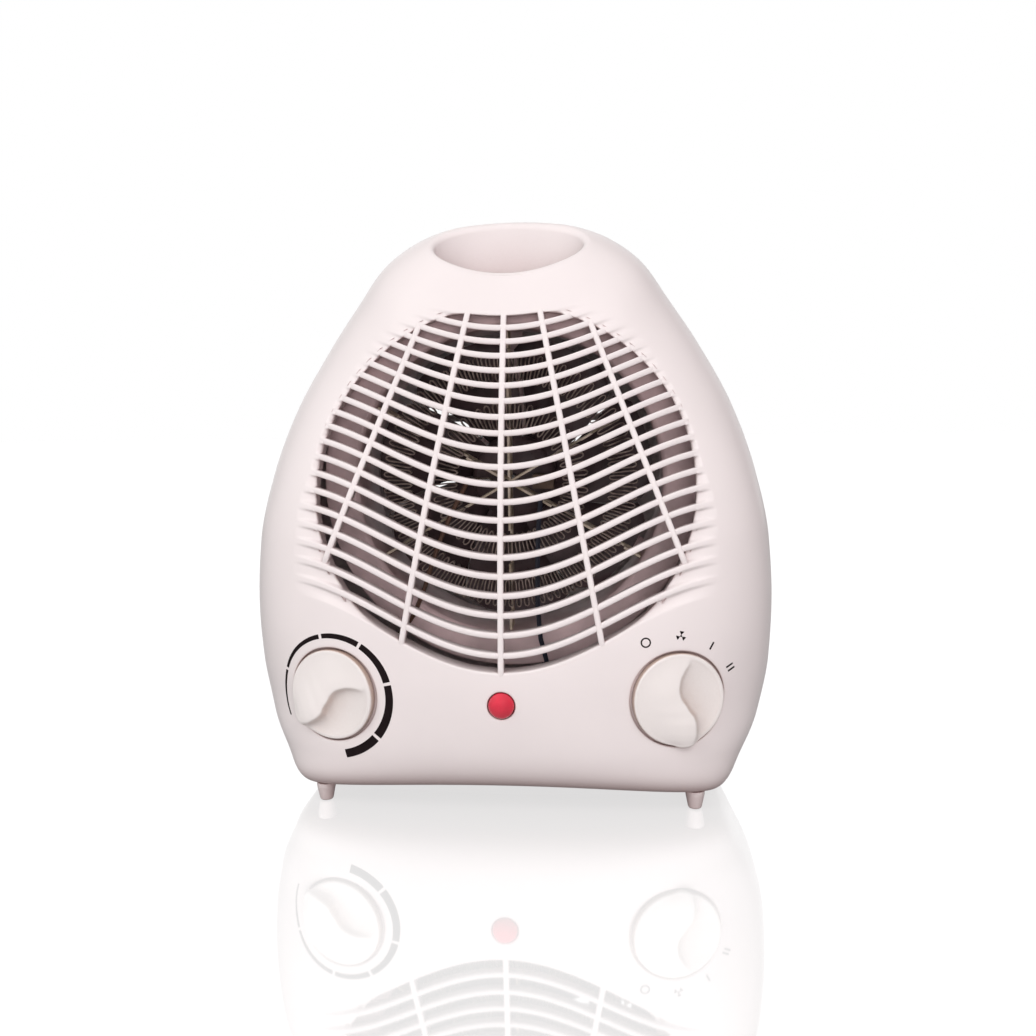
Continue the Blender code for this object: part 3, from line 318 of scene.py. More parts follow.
MAT = {
    # shell_plastic: painted shade, a pinkish brown darkening in the finger pocket, between the slats, in the knob
    # recess gaps and low down near the floor
    "shell_plastic": surface("shell_plastic", (0.83, 0.775, 0.775), 0.34, vary=0.012, scale=22.0, fine=2600.0, bump=0.018,
                             rough_vary=0.05, coat=0.12, spec=0.5, painted_shade=(0.46, 0.33, 0.32), reach=0.045, span=(0.12, 0.74)),
    # knob_plastic: painted shade, a tan darkening in the hollow beside each knob's crest
    "knob_plastic": surface("knob_plastic", (0.84, 0.80, 0.785), 0.32, vary=0.014, scale=40.0, fine=2400.0, bump=0.015,
                            rough_vary=0.05, coat=0.12, painted_shade=(0.50, 0.37, 0.31), reach=0.022, span=(0.66, 0.985)),
    "inner_plastic": surface("inner_plastic", (0.36, 0.26, 0.255), 0.5, vary=0.10, scale=45.0, fine=1500.0, bump=0.03),
    "red_lens": surface("red_lens", (0.72, 0.028, 0.062), 0.12, vary=0.06, scale=160.0, fine=1200.0, bump=0.004,
                        rough_vary=0.03, coat=0.6),
    "lamp_glass": surface("lamp_glass", (0.80, 0.74, 0.66), 0.08, vary=0.03, bump=0.004, coat=0.5),
    "black_plastic": surface("black_plastic", (0.028, 0.021, 0.022), 0.32, vary=0.25, scale=80.0, fine=1300.0, bump=0.012,
                             rough_vary=0.08, coat=0.15, wear=(0.10, 0.09, 0.09)),
    # painted light: the black fan blades get a paler, pinker copy of black_plastic, so the shaded interior behind the
    # grille reads lighter and warmer
    "fan_plastic_painted_light": surface("fan_plastic_painted_light", (0.085, 0.056, 0.061), 0.30, vary=0.25, scale=80.0, fine=1300.0, bump=0.012,
                           rough_vary=0.08, coat=0.2),
    "duct_plastic": surface("duct_plastic", (0.78, 0.60, 0.61), 0.46, vary=0.14, scale=38.0, fine=1400.0, bump=0.03),
    "mica_board": surface("mica_board", (0.60, 0.52, 0.43), 0.5, vary=0.30, scale=170.0, fine=1100.0, bump=0.05,
                          tint=(0.36, 0.29, 0.20), bump_far=0.5),
    "nichrome": surface("nichrome", (0.36, 0.29, 0.26), 0.42, metal=0.6, vary=0.35, scale=260.0, fine=2200.0, bump=0.03,
                        tint=(0.11, 0.08, 0.07)),
    "steel": surface("steel", (0.56, 0.56, 0.57), 0.28, metal=1.0, vary=0.10, scale=220.0, fine=2400.0, bump=0.02,
                     wear=(0.75, 0.75, 0.75)),
    "lamination_steel": surface("lamination_steel", (0.26, 0.26, 0.27), 0.42, metal=0.9, vary=0.2, scale=300.0, fine=1800.0,
                                bump=0.04),
    "brass_part": surface("brass_part", (0.70, 0.53, 0.25), 0.28, metal=1.0, vary=0.12, scale=180.0, fine=2000.0, bump=0.02),
    "bobbin_tape": surface("bobbin_tape", (0.66, 0.58, 0.24), 0.42, vary=0.12, scale=120.0, fine=900.0, bump=0.03),
    "phenolic": surface("phenolic", (0.10, 0.062, 0.042), 0.4, vary=0.25, scale=140.0, fine=1500.0, bump=0.03),
    "cord_sheath": surface("cord_sheath", (0.80, 0.765, 0.755), 0.44, vary=0.03, scale=50.0, fine=1700.0, bump=0.03),
    "wire_blue": surface("wire_blue", (0.03, 0.034, 0.05), 0.42, vary=0.12, scale=120.0, fine=1500.0, bump=0.02),
    "wire_brown": surface("wire_brown", (0.11, 0.055, 0.035), 0.42, vary=0.12, scale=120.0, fine=1500.0, bump=0.02),
    "print_ink": surface("print_ink", (0.012, 0.007, 0.008), 0.6, vary=0.12, scale=300.0, fine=2600.0, bump=0.03, spec=0.15),
}


# ----------------------------------------------------------------- mesh tools
def make(name, verts, faces, mat, body, nodes=(), smooth=True, angle=38.0, outward=None, thick=0.0,
         closed=True):
    """One visible piece from millimetre points and faces."""
    mesh = bpy.data.meshes.new(name)
    mesh.from_pydata(to_frame(verts).tolist(), [], [tuple(int(i) for i in f) for f in faces])
    bm = bmesh.new()
    bm.from_mesh(mesh)
    bmesh.ops.remove_doubles(bm, verts=bm.verts, dist=1e-7)
    loose = [v for v in bm.verts if not v.link_faces]
    if loose:
        bmesh.ops.delete(bm, geom=loose, context="VERTS")
    bmesh.ops.recalc_face_normals(bm, faces=bm.faces)
    flip = False
    if outward is not None:
        p, d = Vector(to_frame([outward[0]])[0]), Vector(outward[1])
        near = min(bm.faces, key=lambda f: (f.calc_center_median() - p).length_squared)
        flip = near.normal.dot(d) < 0
    elif closed:
        flip = bm.calc_volume(signed=True) < 0
    if flip:
        bmesh.ops.reverse_faces(bm, faces=bm.faces)
    bm.to_mesh(mesh)
    bm.free()
    obj = bpy.data.objects.new(name, mesh)
    bpy.context.scene.collection.objects.link(obj)
    if thick:
        s = obj.modifiers.new("wall", "SOLIDIFY")
        s.thickness = thick * 0.001
        s.offset = -1.0
        s.use_rim = True
        bake(obj)
        mesh = obj.data
    if smooth:
        mesh.shade_smooth()
        mesh.set_sharp_from_angle(angle=math.radians(angle))
    mesh.materials.clear()
    mesh.materials.append(MAT[mat])
    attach(obj, body)
    if nodes:
        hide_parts(*nodes)
    return obj


def bake(obj):
    bpy.context.view_layer.update()
    graph = bpy.context.evaluated_depsgraph_get()
    mesh = bpy.data.meshes.new_from_object(obj.evaluated_get(graph))
    obj.modifiers.clear()
    old = obj.data
    obj.data = mesh
    bpy.data.meshes.remove(old)
    mesh.name = obj.name


class Shape:
    """Points and faces gathered piece by piece."""

    def __init__(self):
        self.v, self.f, self.n = [], [], 0

    def add(self, points):
        p = np.array(points, float).reshape(-1, 3)
        first = self.n
        self.v.append(p)
        self.n += len(p)
        return first

    def rings(self, rings, closed_round=True, closed_along=False, cap=True):
        """Rings of equal length joined with quads; cap closes both ends."""
        k = len(rings[0])
        starts = [self.add(r) for r in rings]
        m = len(starts)
        for i in range(m if closed_along else m - 1):
            a, b = starts[i], starts[(i + 1) % m]
            for j in range(k if closed_round else k - 1):
                j2 = (j + 1) % k
                self.f.append((a + j, a + j2, b + j2, b + j))
        if cap and not closed_along:
            for s, ring in ((starts[0], rings[0]), (starts[-1], rings[-1])):
                c = self.add([np.mean(np.array(ring, float), 0)])
                for j in range(k):
                    self.f.append((s + j, s + (j + 1) % k, c))
        return starts

    def turned(self, base, axis, profile, sides):
        """A closed profile of (radius, height) turned about an axis."""
        a = np.array(axis, float) / np.linalg.norm(axis)
        u = np.cross([0.0, 0.0, 1.0], a)
        if np.linalg.norm(u) < 1e-6:
            u = np.array([1.0, 0.0, 0.0])
        u /= np.linalg.norm(u)
        w = np.cross(a, u)
        t = np.linspace(0, 2 * math.pi, sides, endpoint=False)
        circle = np.cos(t)[:, None] * u + np.sin(t)[:, None] * w
        base = np.array(base, float)
        starts, single = [], []
        for r, h in profile:
            if r < 1e-9:
                starts.append(self.add([base + a * h]))
                single.append(True)
            else:
                starts.append(self.add(base + a * h + circle * r))
                single.append(False)
        n = len(profile)
        last = n if not (single[0] and single[-1]) else n - 1
        for i in range(last):
            p, q = starts[i], starts[(i + 1) % n]
            sp, sq = single[i], single[(i + 1) % n]
            for j in range(sides):
                j2 = (j + 1) % sides
                if sp and sq:
                    continue
                if sp:
                    self.f.append((p, q + j2, q + j))
                elif sq:
                    self.f.append((p + j, p + j2, q))
                else:
                    self.f.append((p + j, p + j2, q + j2, q + j))

    def tube(self, path, radius, sides=16, closed=False, scale=None):
        """A round section along a path, turned as little as possible."""
        path = np.array(path, float)
        n = len(path)
        t = np.gradient(path, axis=0) if not closed else np.roll(path, -1, 0) - np.roll(path, 1, 0)
        t /= np.linalg.norm(t, axis=1)[:, None]
        side = np.cross(t[0], [0.0, 0.0, 1.0])
        if np.linalg.norm(side) < 1e-3:
            side = np.cross(t[0], [1.0, 0.0, 0.0])
        rings = []
        a = np.linspace(0, 2 * math.pi, sides, endpoint=False)
        for i in range(n):
            side = side - t[i] * side.dot(t[i])
            side /= np.linalg.norm(side)
            w = np.cross(side, t[i])
            r = radius if scale is None else radius * scale[i]
            rings.append(path[i] + r * (np.cos(a)[:, None] * side + np.sin(a)[:, None] * w))
        self.rings(rings, True, closed)

    def data(self):
        return np.concatenate(self.v), self.f


def rounded(profile, radius, steps=5):
    """Rounds the corners of an open profile of (r, h) points."""
    pts = [np.array(p, float) for p in profile]
    out = [pts[0]]
    for i in range(1, len(pts) - 1):
        a, b, c = pts[i - 1], pts[i], pts[i + 1]
        u, v = a - b, c - b
        lu, lv = np.linalg.norm(u), np.linalg.norm(v)
        r = min(radius, 0.45 * lu, 0.45 * lv)
        if r < 1e-4:
            out.append(b)
            continue
        p, q = b + u / lu * r, b + v / lv * r
        for s in range(steps + 1):
            t = s / steps
            out.append((1 - t) ** 2 * p + 2 * t * (1 - t) * b + t ** 2 * q)
    out.append(pts[-1])
    return [(max(0.0, float(p[0])), float(p[1])) for p in out]


def spline(points, steps):
    pts = [np.array(p, float) for p in points]
    pts = [pts[0] * 2 - pts[1]] + pts + [pts[-1] * 2 - pts[-2]]
    out = []
    for i in range(1, len(pts) - 2):
        p0, p1, p2, p3 = pts[i - 1:i + 3]
        for s in range(steps):
            t = s / steps
            out.append(0.5 * ((2 * p1) + (p2 - p0) * t + (2 * p0 - 5 * p1 + 4 * p2 - p3) * t * t
                              + (3 * p1 - p0 - 3 * p2 + p3) * t ** 3))
    out.append(pts[-2])
    return np.array(out)


def in_polygon(px, py, poly):
    """Which points lie inside a polygon, by crossings."""
    res = np.zeros(px.shape, bool)
    x0, y0 = poly[:, 0], poly[:, 1]
    x1, y1 = np.roll(x0, -1), np.roll(y0, -1)
    for a, b, c, d in zip(x0, y0, x1, y1):
        if b == d:
            continue
        hit = ((b > py) != (d > py)) & (px < (c - a) * (py - b) / (d - b) + a)
        res ^= hit
    return res


# ---------------------------------------------------------------- shell sheets
class Sheet:
    """A shell's outer skin as a grid of columns (rays from the outlet's
    middle) and rows (equal steps along each ray's curve), with features let
    into it."""

    def __init__(self, side, columns, inner, near, near_rows, far_rows, edge_rows=()):
        self.side = side
        # columns start at +X, where no feature lies
        self.theta = math.pi / 2 + np.linspace(0, 2 * math.pi, columns, endpoint=False)
        self.r_in = inner(self.theta)
        self.r_out = radius_from(GRILLE_Z, self.theta, inside)
        w = np.linspace(0, 1, 700)
        q = (1 - w) ** 5
        r = self.r_out[:, None] - (self.r_out - self.r_in)[:, None] * q[None, :]
        x, z = r * np.sin(self.theta)[:, None], GRILLE_Z + r * np.cos(self.theta)[:, None]
        y = face_y(x, z, side)
        y[:, -1] = seam_y(z[:, -1]) + side * 0.15
        s = np.concatenate([np.zeros((columns, 1)), np.cumsum(np.hypot(np.diff(r, axis=1), np.diff(y, axis=1)), axis=1)], axis=1)
        steps_near = np.concatenate([np.array(edge_rows, float),
                                     np.linspace(edge_rows[-1] if len(edge_rows) else 0.0, near, near_rows)[(1 if len(edge_rows) else 0):]])
        rows = []
        for i in range(columns):
            total = s[i, -1]
            far = near + (total - near) * np.linspace(0, 1, far_rows + 1)[1:]
            pos = np.concatenate([steps_near, far])
            rows.append(np.interp(pos, s[i], r[i]))
        self.r = np.array(rows)
        self.x = self.r * np.sin(self.theta)[:, None]
        self.z = GRILLE_Z + self.r * np.cos(self.theta)[:, None]
        self.y = face_y(self.x, self.z, side)
        self.y[:, -1] = seam_y(self.z[:, -1]) + side * 0.15
        self.key = self.r + (self.y if side < 0 else -self.y)
        self.columns, self.rows = self.x.shape
        self.dead = np.zeros((self.columns, self.rows), bool)
        self.shape = Shape()
        self.loops = []

    def locate(self, pts):
        """Grid coordinates (column, row) of points on the skin."""
        x, y, z = pts[:, 0], pts[:, 1], pts[:, 2]
        th = np.arctan2(x, z - GRILLE_Z)
        u = np.mod(th - self.theta[0], 2 * math.pi) / (2 * math.pi) * self.columns
        r = np.hypot(x, z - GRILLE_Z)
        key = r + (y if self.side < 0 else -y)
        v = np.zeros(len(pts))
        for i in range(len(pts)):
            c0 = int(math.floor(u[i])) % self.columns
            c1 = (c0 + 1) % self.columns
            f = u[i] - math.floor(u[i])
            col = self.key[c0] * (1 - f) + self.key[c1] * f
            v[i] = np.interp(key[i], col, np.arange(self.rows))
        return np.stack([u, v], 1)

    def feature(self, rings, close=None):
        """Lets rings of points into the skin. The first ring lies on the skin
        and is stitched to the grid; close adds a middle point."""
        ring = np.array(rings[0], float)
        self.loops.append((ring, [np.array(r, float) for r in rings], close))

    def build(self):
        C, R = self.columns, self.rows
        g = np.stack([self.x, self.y, self.z], 2)
        uu, vv = np.meshgrid(np.arange(C), np.arange(R), indexing="ij")
        located = []
        for ring, rings, close in self.loops:
            uv = self.locate(ring)
            poly = uv.copy()
            u0, u1 = int(poly[:, 0].min()) - 6, int(poly[:, 0].max()) + 7
            v0, v1 = max(0, int(poly[:, 1].min()) - 5), min(R, int(poly[:, 1].max()) + 6)
            cols = np.arange(max(u0, 0), min(u1, C))
            rws = np.arange(v0, v1)
            su = sv = 1.0
            mid_c, mid_r = int(poly[:, 0].mean()) % C, int(poly[:, 1].mean())
            su = np.linalg.norm(g[(mid_c + 1) % C, mid_r] - g[mid_c, mid_r])
            sv = np.linalg.norm(g[mid_c, min(mid_r + 1, R - 1)] - g[mid_c, mid_r - 1]) / 2
            pu, pv = np.meshgrid(cols, rws, indexing="ij")
            hit = in_polygon(pu.astype(float), pv.astype(float), poly)
            d2 = ((pu[..., None] - poly[:, 0]) * su) ** 2 + ((pv[..., None] - poly[:, 1]) * sv) ** 2
            hit |= d2.min(-1) < (0.75 * max(su, sv, 0.7)) ** 2
            dead = np.zeros((C, R), bool)
            dead[pu[hit], pv[hit]] = True
            located.append((uv, su, sv, dead))
            self.dead |= dead
        start = self.shape.add(g.reshape(-1, 3))
        idx = start + uu * R + vv
        for i in range(C):
            j = (i + 1) % C
            bad = self.dead[i] | self.dead[j]
            for k in range(R - 1):
                if not (bad[k] or bad[k + 1]):
                    self.shape.f.append((idx[i, k], idx[j, k], idx[j, k + 1], idx[i, k + 1]))
        for (ring, rings, close), (uv, su, sv, dead) in zip(self.loops, located):
            quads = set()
            for i, k in zip(*np.nonzero(dead)):
                for di in (-1, 0):
                    for dk in (-1, 0):
                        if 0 <= k + dk < R - 1:
                            quads.add((int(i + di), int(k + dk)))
            edges = {}
            for i, k in quads:
                for a, b in (((i, k), (i + 1, k)), ((i + 1, k), (i + 1, k + 1)), ((i + 1, k + 1), (i, k + 1)), ((i, k + 1), (i, k))):
                    e = (b, a)
                    if e in edges:
                        del edges[e]
                    else:
                        edges[(a, b)] = True
            corner = {}
            coords, ids = [], []
            for a, b in edges:
                for c in (a, b):
                    if c not in corner:
                        corner[c] = len(coords)
                        coords.append(Vector((c[0] * su, c[1] * sv)))
                        ids.append(int(idx[c[0] % C, c[1]]))
            e_list = [(corner[a], corner[b]) for a, b in edges]
            starts = [self.shape.add(r) for r in rings]
            m = len(ring)
            first = len(coords)
            for j in range(m):
                coords.append(Vector((uv[j, 0] * su, uv[j, 1] * sv)))
                ids.append(starts[0] + j)
            e_list += [(first + j, first + (j + 1) % m) for j in range(m)]
            verts, _, tris, orig, _, _ = delaunay_2d_cdt(coords, e_list, [], 0, 1e-7)
            back = [ids[o[0]] if o else None for o in orig]
            cen = np.array([[sum(verts[i][0] for i in t) / 3 / su, sum(verts[i][1] for i in t) / 3 / sv] for t in tris])
            in_ring = in_polygon(cen[:, 0], cen[:, 1], uv)
            for t, c, inner in zip(tris, cen, in_ring):
                if inner or (int(math.floor(c[0])), int(math.floor(c[1]))) not in quads:
                    continue
                if any(back[i] is None for i in t):
                    continue
                self.shape.f.append(tuple(back[i] for i in t))
            for a, b in zip(starts[:-1], starts[1:]):
                for j in range(m):
                    j2 = (j + 1) % m
                    self.shape.f.append((a + j, a + j2, b + j2, b + j))
            if close is not None:
                c = self.shape.add([close])
                for j in range(m):
                    self.shape.f.append((starts[-1] + j, starts[-1] + (j + 1) % m, c))
        return idx


# ---------------------------------------------------------------- front shell
def outlet_edge(theta):
    sx, cz = np.sin(theta), np.cos(theta)
    oval = 1.0 / np.sqrt((sx / GRILLE_A) ** 2 + (cz / GRILLE_B) ** 2)
    top = radius_from(GRILLE_Z, theta, lambda x, z: (z <= slat_z(0.1, x)) | (z < GRILLE_Z + 5), 160.0)
    low = radius_from(GRILLE_Z, theta, lambda x, z: (z >= slat_z(20.9, x)) | (z > GRILLE_Z - 5), 160.0)
    k = 0.75
    return -np.log(np.exp(-k * oval) + np.exp(-k * top) + np.exp(-k * low)) / k


def groove_depth(x, z, r, r_in, theta):
    """How deep the shell dips between the slat lines beside the outlet."""
    k = slat_index(x, z)
    pitch = 5.71 + 0.14 * k
    slope = math.pi / 95.0 * 0.5 * (22.0 + 0.45 * k) * np.sin(math.pi * np.minimum(np.abs(x) / 95.0, 1.0))
    off = np.abs(k - np.round(k)) * pitch / np.hypot(1.0, slope)
    wall = step((off - 1.0) / 1.25)
    reach = groove_reach(z)
    d = (r - r_in) / np.maximum(np.abs(np.sin(theta)), 0.45)
    fade = np.clip(1.0 - d / reach, 0.0, 1.0) ** 1.25
    ends = step((k - 0.1) / 0.5) * step((21.0 - k) / 0.6)
    return (2.3 - 1.2 * step((z - 160.0) / 30.0)) * wall * fade * ends


groove_reach = smooth_table([(60.0, 16.0), (80.0, 20.0), (97.0, 21.0), (108.0, 17.0), (120.0, 12.0), (135.0, 8.0),
                             (152.0, 3.0), (168.0, 2.6), (183.0, 4.0), (196.0, 8.0), (208.0, 14.0), (230.0, 18.0)])

EDGE_R = 0.9
front = Sheet(-1, 1080, outlet_edge, 22.0, 38, 58, (0.0, 0.05, 0.16, 0.32, 0.52, 0.75, 1.0))
dip = groove_depth(front.x, front.z, front.r, front.r_in[:, None], front.theta[:, None])
e = np.clip(front.r - front.r_in[:, None], 0.0, EDGE_R)
roll = EDGE_R - np.sqrt(np.maximum(EDGE_R ** 2 - (EDGE_R - e) ** 2, 0.0))
plain_y = front.y.copy()

# knob recesses: rings about each knob's axis
for sign in (-1, 1):
    m = 200
    al = np.linspace(0, 2 * math.pi, m, endpoint=False)
    rings = []
    for grow, drop in ((3.2, 0.0), (1.9, 0.0), (0.75, 0.02), (0.48, 0.08), (0.24, 0.22), (0.08, 0.42), (0.0, 0.7)):
        rho = RECESS_R + grow
        rings.append(on_dial(sign, rho * np.cos(al), rho * np.sin(al), -drop))
    axis = knob_axis(sign)
    across = np.cross([0.0, 0.0, 1.0], axis)
    base = knob_base(sign, -2.8)
    for rho in (RECESS_R, 12.0, 4.0):
        rings.append(base + rho * np.cos(al)[:, None] * across + rho * np.sin(al)[:, None] * np.array([0.0, 0.0, 1.0]))
    front.feature(rings, base)

# lamp hole
al = np.linspace(0, 2 * math.pi, 96, endpoint=False)
rings = []
for rho, drop in ((8.6, 0.0), (7.2, 0.0), (6.45, 0.03), (6.15, 0.14), (5.95, 0.36), (5.9, 0.7), (5.9, 3.2)):
    x, z = rho * np.cos(al), LAMP_Z + rho * np.sin(al)
    rings.append(np.stack([x, face_y(x, z) + drop, z], 1))
front.feature(rings)

# finger pocket: rings in plan, dropped from the crown
POCKET_MID, PA, PB = -3.0, 33.5, 15.0


def crown_z(x, y):
    """Height of the front shell's top side over a plan point."""
    lo, hi = np.full(x.shape, 150.0), radius_top(x)
    for _ in range(46):
        mid = 0.5 * (lo + hi)
        ok = face_y(x, mid) < y
        lo, hi = np.where(ok, mid, lo), np.where(ok, hi, mid)
    return lo


_tz = np.linspace(150.0, TOP_Z, 4000)
_tw = half_width(_tz)


def radius_top(x):
    """Height of the outline over x, on its upper part."""
    return np.interp(-np.abs(x), -_tw, _tz)


m = 260
al = np.linspace(0, 2 * math.pi, m, endpoint=False)
rings = []


def pocket_ring(grow):
    return (PA + grow) * np.cos(al), POCKET_MID + (PB + grow) * np.sin(al)


FIL = 3.6
x, y = pocket_ring(FIL + 1.2)
rings.append(np.stack([x, y, crown_z(x, y)], 1))
for phi in np.linspace(0, 90, 13):
    f = math.radians(phi)
    x, y = pocket_ring(FIL * (1 - math.sin(f)))
    rings.append(np.stack([x, y, crown_z(x, y) - FIL * (1 - math.cos(f))], 1))
wall_top = rings[-1][:, 2]
for t in (0.12, 0.3, 0.55, 0.8):
    x, y = pocket_ring(-1.2 * t)
    rings.append(np.stack([x, y, wall_top + (218.5 - wall_top) * t], 1))
for phi in np.linspace(0, 90, 7):
    f = math.radians(phi)
    x, y = pocket_ring(-1.2 - 4.0 * (1 - math.cos(f)))
    rings.append(np.stack([x, y, np.full(m, 218.5 - 4.0 * math.sin(f))], 1))
for t in (0.6, 0.25):
    rings.append(np.stack([28.3 * t * np.cos(al), POCKET_MID + 9.8 * t * np.sin(al), np.full(m, 214.5)], 1))
front.feature(rings, np.array([0.0, POCKET_MID, 214.5]))

front.y = plain_y + dip + roll
idx = front.build()
# outlet wall, behind the rolled edge
edge = np.stack([front.x[:, 0], front.y[:, 0], front.z[:, 0]], 1)
prev = idx[:, 0]
for deep, out in ((1.2, 0.0), (3.0, 0.05), (5.5, 0.12), (8.5, 0.25)):
    ring = edge.copy()
    ring[:, 1] = plain_y[:, 0] + EDGE_R + deep + dip[:, 0] * max(0.0, 1.0 - deep / 5.5)
    ring[:, 0] *= 1.0 + out / 80.0
    ring[:, 2] = GRILLE_Z + (ring[:, 2] - GRILLE_Z) * (1.0 + out / 80.0)
    s = front.shape.add(ring)
    now = s + np.arange(front.columns)
    for i in range(front.columns):
        j = (i + 1) % front.columns
        front.shape.f.append((prev[i], prev[j], now[j], now[i]))
    prev = now
verts, faces = front.shape.data()
make("front_shell", verts, faces, "shell_plastic", "heater", ("front_housing",), angle=42.0,
     outward=((0.0, float(face_y(0, 30.0)), 30.0), (0, -1, 0)), thick=SHELL_T)


# --------------------------------------------------------------- grille bars
def bar(shape, path, width_dir, width, depth, proud):
    """A slat or rib: a section with a rounded face swept along a path on the
    face. proud is how far each station stands above the face."""
    path = np.array(path, float)
    w = np.array(width_dir, float)
    half = width / 2.0
    sec = []
    for t in np.linspace(0, math.pi, 11):
        c, s = math.cos(t), math.sin(t)
        sec.append((half * math.copysign(abs(c) ** 0.72, c), 1.0 * (1.0 - abs(s) ** 0.72)))
    sec += [(-half * 0.97, 2.2), (-half * 0.86, depth - 0.3), (-half * 0.7, depth), (half * 0.7, depth), (half * 0.86, depth - 0.3),
            (half * 0.97, 2.2)]
    rings = []
    for i in range(len(path)):
        rings.append(np.array([path[i] + w[i] * a + np.array([0.0, d - proud[i], 0.0]) for a, d in sec]))
    shape.rings(rings)


bars = Shape()
for k in range(1, SLATS + 1):
    lo, hi = 0.0, 90.0
    for _ in range(40):
        x = 0.5 * (lo + hi)
        if (x / GRILLE_A) ** 2 + ((float(slat_z(k, x)) - GRILLE_Z) / GRILLE_B) ** 2 < 1.0:
            lo = x
        else:
            hi = x
    rest = 1.5 + 3.0 * float(step(np.array((k - 8.0) / 4.0)))
    end = lo + rest
    xs = np.linspace(-end, end, 97)
    zs = slat_z(k, xs)
    slope = (slat_z(k, xs + 0.25) - slat_z(k, xs - 0.25)) / 0.5
    n = np.hypot(1.0, slope)
    wd = np.stack([-slope / n, np.zeros(97), 1.0 / n], 1)
    over = np.clip((np.abs(xs) - lo + 0.3) / rest, 0.0, 1.0)
    proud = 0.12 - 0.5 * over ** 1.5
    bar(bars, np.stack([xs, face_y(xs, zs), zs], 1), wd, 2.65, 5.2, proud)
verts, faces = bars.data()
make("grille_slats", verts, faces, "shell_plastic", "heater", ("front_housing",), angle=50.0)


def in_outlet(x, z):
    return ((x / GRILLE_A) ** 2 + ((z - GRILLE_Z) / GRILLE_B) ** 2 < 1.0) & (z < slat_z(0.1, x)) & (z > slat_z(20.9, x))


bars = Shape()
for fn in (lambda z: 0.0 * z, inner_rib_x, lambda z: -inner_rib_x(z), outer_rib_x, lambda z: -outer_rib_x(z)):
    zz = np.linspace(55.0, 235.0, 3601)
    ok = in_outlet(fn(zz), zz)
    z0, z1 = zz[ok][0] - 3.5, zz[ok][-1] + 3.0
    zs = np.linspace(z0, z1, 80)
    xs = fn(zs)
    dx = (fn(zs + 0.5) - fn(zs - 0.5))
    n = np.hypot(1.0, dx)
    wd = np.stack([1.0 / n, np.zeros(80), -dx / n], 1)
    over = np.clip(np.maximum(zs - (z1 - 3.4), (z0 + 3.9) - zs) / 3.4, 0.0, 1.0)
    proud = 0.34 - 1.1 * over ** 1.5
    bar(bars, np.stack([xs, face_y(xs, zs), zs], 1), wd, 2.6, 5.8, proud)
verts, faces = bars.data()
make("grille_ribs", verts, faces, "shell_plastic", "heater", ("front_housing",), angle=50.0)

# ----------------------------------------------------------------- rear shell
INTAKE = 62.0
rear = Sheet(1, 720, lambda t: np.full(len(t), INTAKE), 6.0, 6, 62)
for px, pz in CASE_POSTS:
    al = np.linspace(0, 2 * math.pi, 56, endpoint=False)
    rings = []
    for rho, drop in ((5.2, 0.0), (4.4, 0.0), (3.9, 0.06), (3.55, 0.25), (3.3, 0.7)):
        x, z = px + rho * np.cos(al), pz + rho * np.sin(al)
        rings.append(np.stack([x, face_y(x, z, 1) - drop, z], 1))
    seat = float(seam_y(pz)) + 9.0
    top = rings[-1].copy()
    for t in (0.5, 1.0):
        r2 = top.copy()
        r2[:, 1] = top[:, 1] + (seat - top[:, 1]) * t
        rings.append(r2)
    rings.append(np.stack([px + 1.6 * np.cos(al), np.full(56, seat), pz + 1.6 * np.sin(al)], 1))
    rear.feature(rings)
al = np.linspace(0, 2 * math.pi, 72, endpoint=False)
rings = []
for rho, drop in ((9.0, 0.0), (7.4, 0.0), (6.8, 0.06), (6.5, 0.25), (6.3, 0.7), (6.3, 2.4)):
    x, z = 42.0 + rho * np.cos(al), 24.0 + rho * np.sin(al)
    rings.append(np.stack([x, face_y(x, z, 1) - drop, z], 1))
rear.feature(rings)
idx = rear.build()
# intake panel: slots with round ends inside the middle circle
coords = [Vector((float(a), float(b))) for a, b in zip(rear.x[:, 0], rear.z[:, 0])]
ids = [int(i) for i in idx[:, 0]]
e_list = [(i, (i + 1) % rear.columns) for i in range(rear.columns)]
slots = []
for row in range(-7, 8):
    zc = FAN_Z + row * 7.6
    reach = math.sqrt(max(58.0 ** 2 - (row * 7.6) ** 2, 0.0))
    if reach <= 12.0:
        continue
    for s in (-1, 1):
        x0, x1, h = 1.7, reach, 2.1
        pts = []
        for t in np.linspace(-90, 90, 9):
            pts.append((x1 - h + h * math.cos(math.radians(t)), zc + h * math.sin(math.radians(t))))
        n = max(2, int((x1 - x0 - 2 * h) / 3.0))
        for j in range(1, n):
            pts.append((x1 - h - (x1 - x0 - 2 * h) * j / n, zc + h))
        for t in np.linspace(90, 270, 9):
            pts.append((x0 + h + h * math.cos(math.radians(t)), zc + h * math.sin(math.radians(t))))
        for j in range(1, n):
            pts.append((x0 + h + (x1 - x0 - 2 * h) * j / n, zc - h))
        pts = np.array(pts) * [s, 1.0]
        slots.append(pts)
for pts in slots:
    s0 = rear.shape.add(np.stack([pts[:, 0], face_y(pts[:, 0], pts[:, 1], 1), pts[:, 1]], 1))
    f0 = len(coords)
    for j, (a, b) in enumerate(pts):
        coords.append(Vector((float(a), float(b))))
        ids.append(s0 + j)
    e_list += [(f0 + j, f0 + (j + 1) % len(pts)) for j in range(len(pts))]
vs, _, tris, orig, _, _ = delaunay_2d_cdt(coords, e_list, [], 0, 1e-7)
cen = np.array([[sum(vs[i][0] for i in t) / 3, sum(vs[i][1] for i in t) / 3] for t in tris])
keep = np.hypot(cen[:, 0], cen[:, 1] - GRILLE_Z) < INTAKE
circle = np.stack([rear.x[:, 0], rear.z[:, 0]], 1)
keep &= in_polygon(cen[:, 0], cen[:, 1], circle)
for pts in slots:
    keep &= ~in_polygon(cen[:, 0], cen[:, 1], pts)
for t, ok in zip(tris, keep):
    if ok and all(orig[i] for i in t):
        rear.shape.f.append(tuple(ids[orig[i][0]] for i in t))
verts, faces = rear.shape.data()
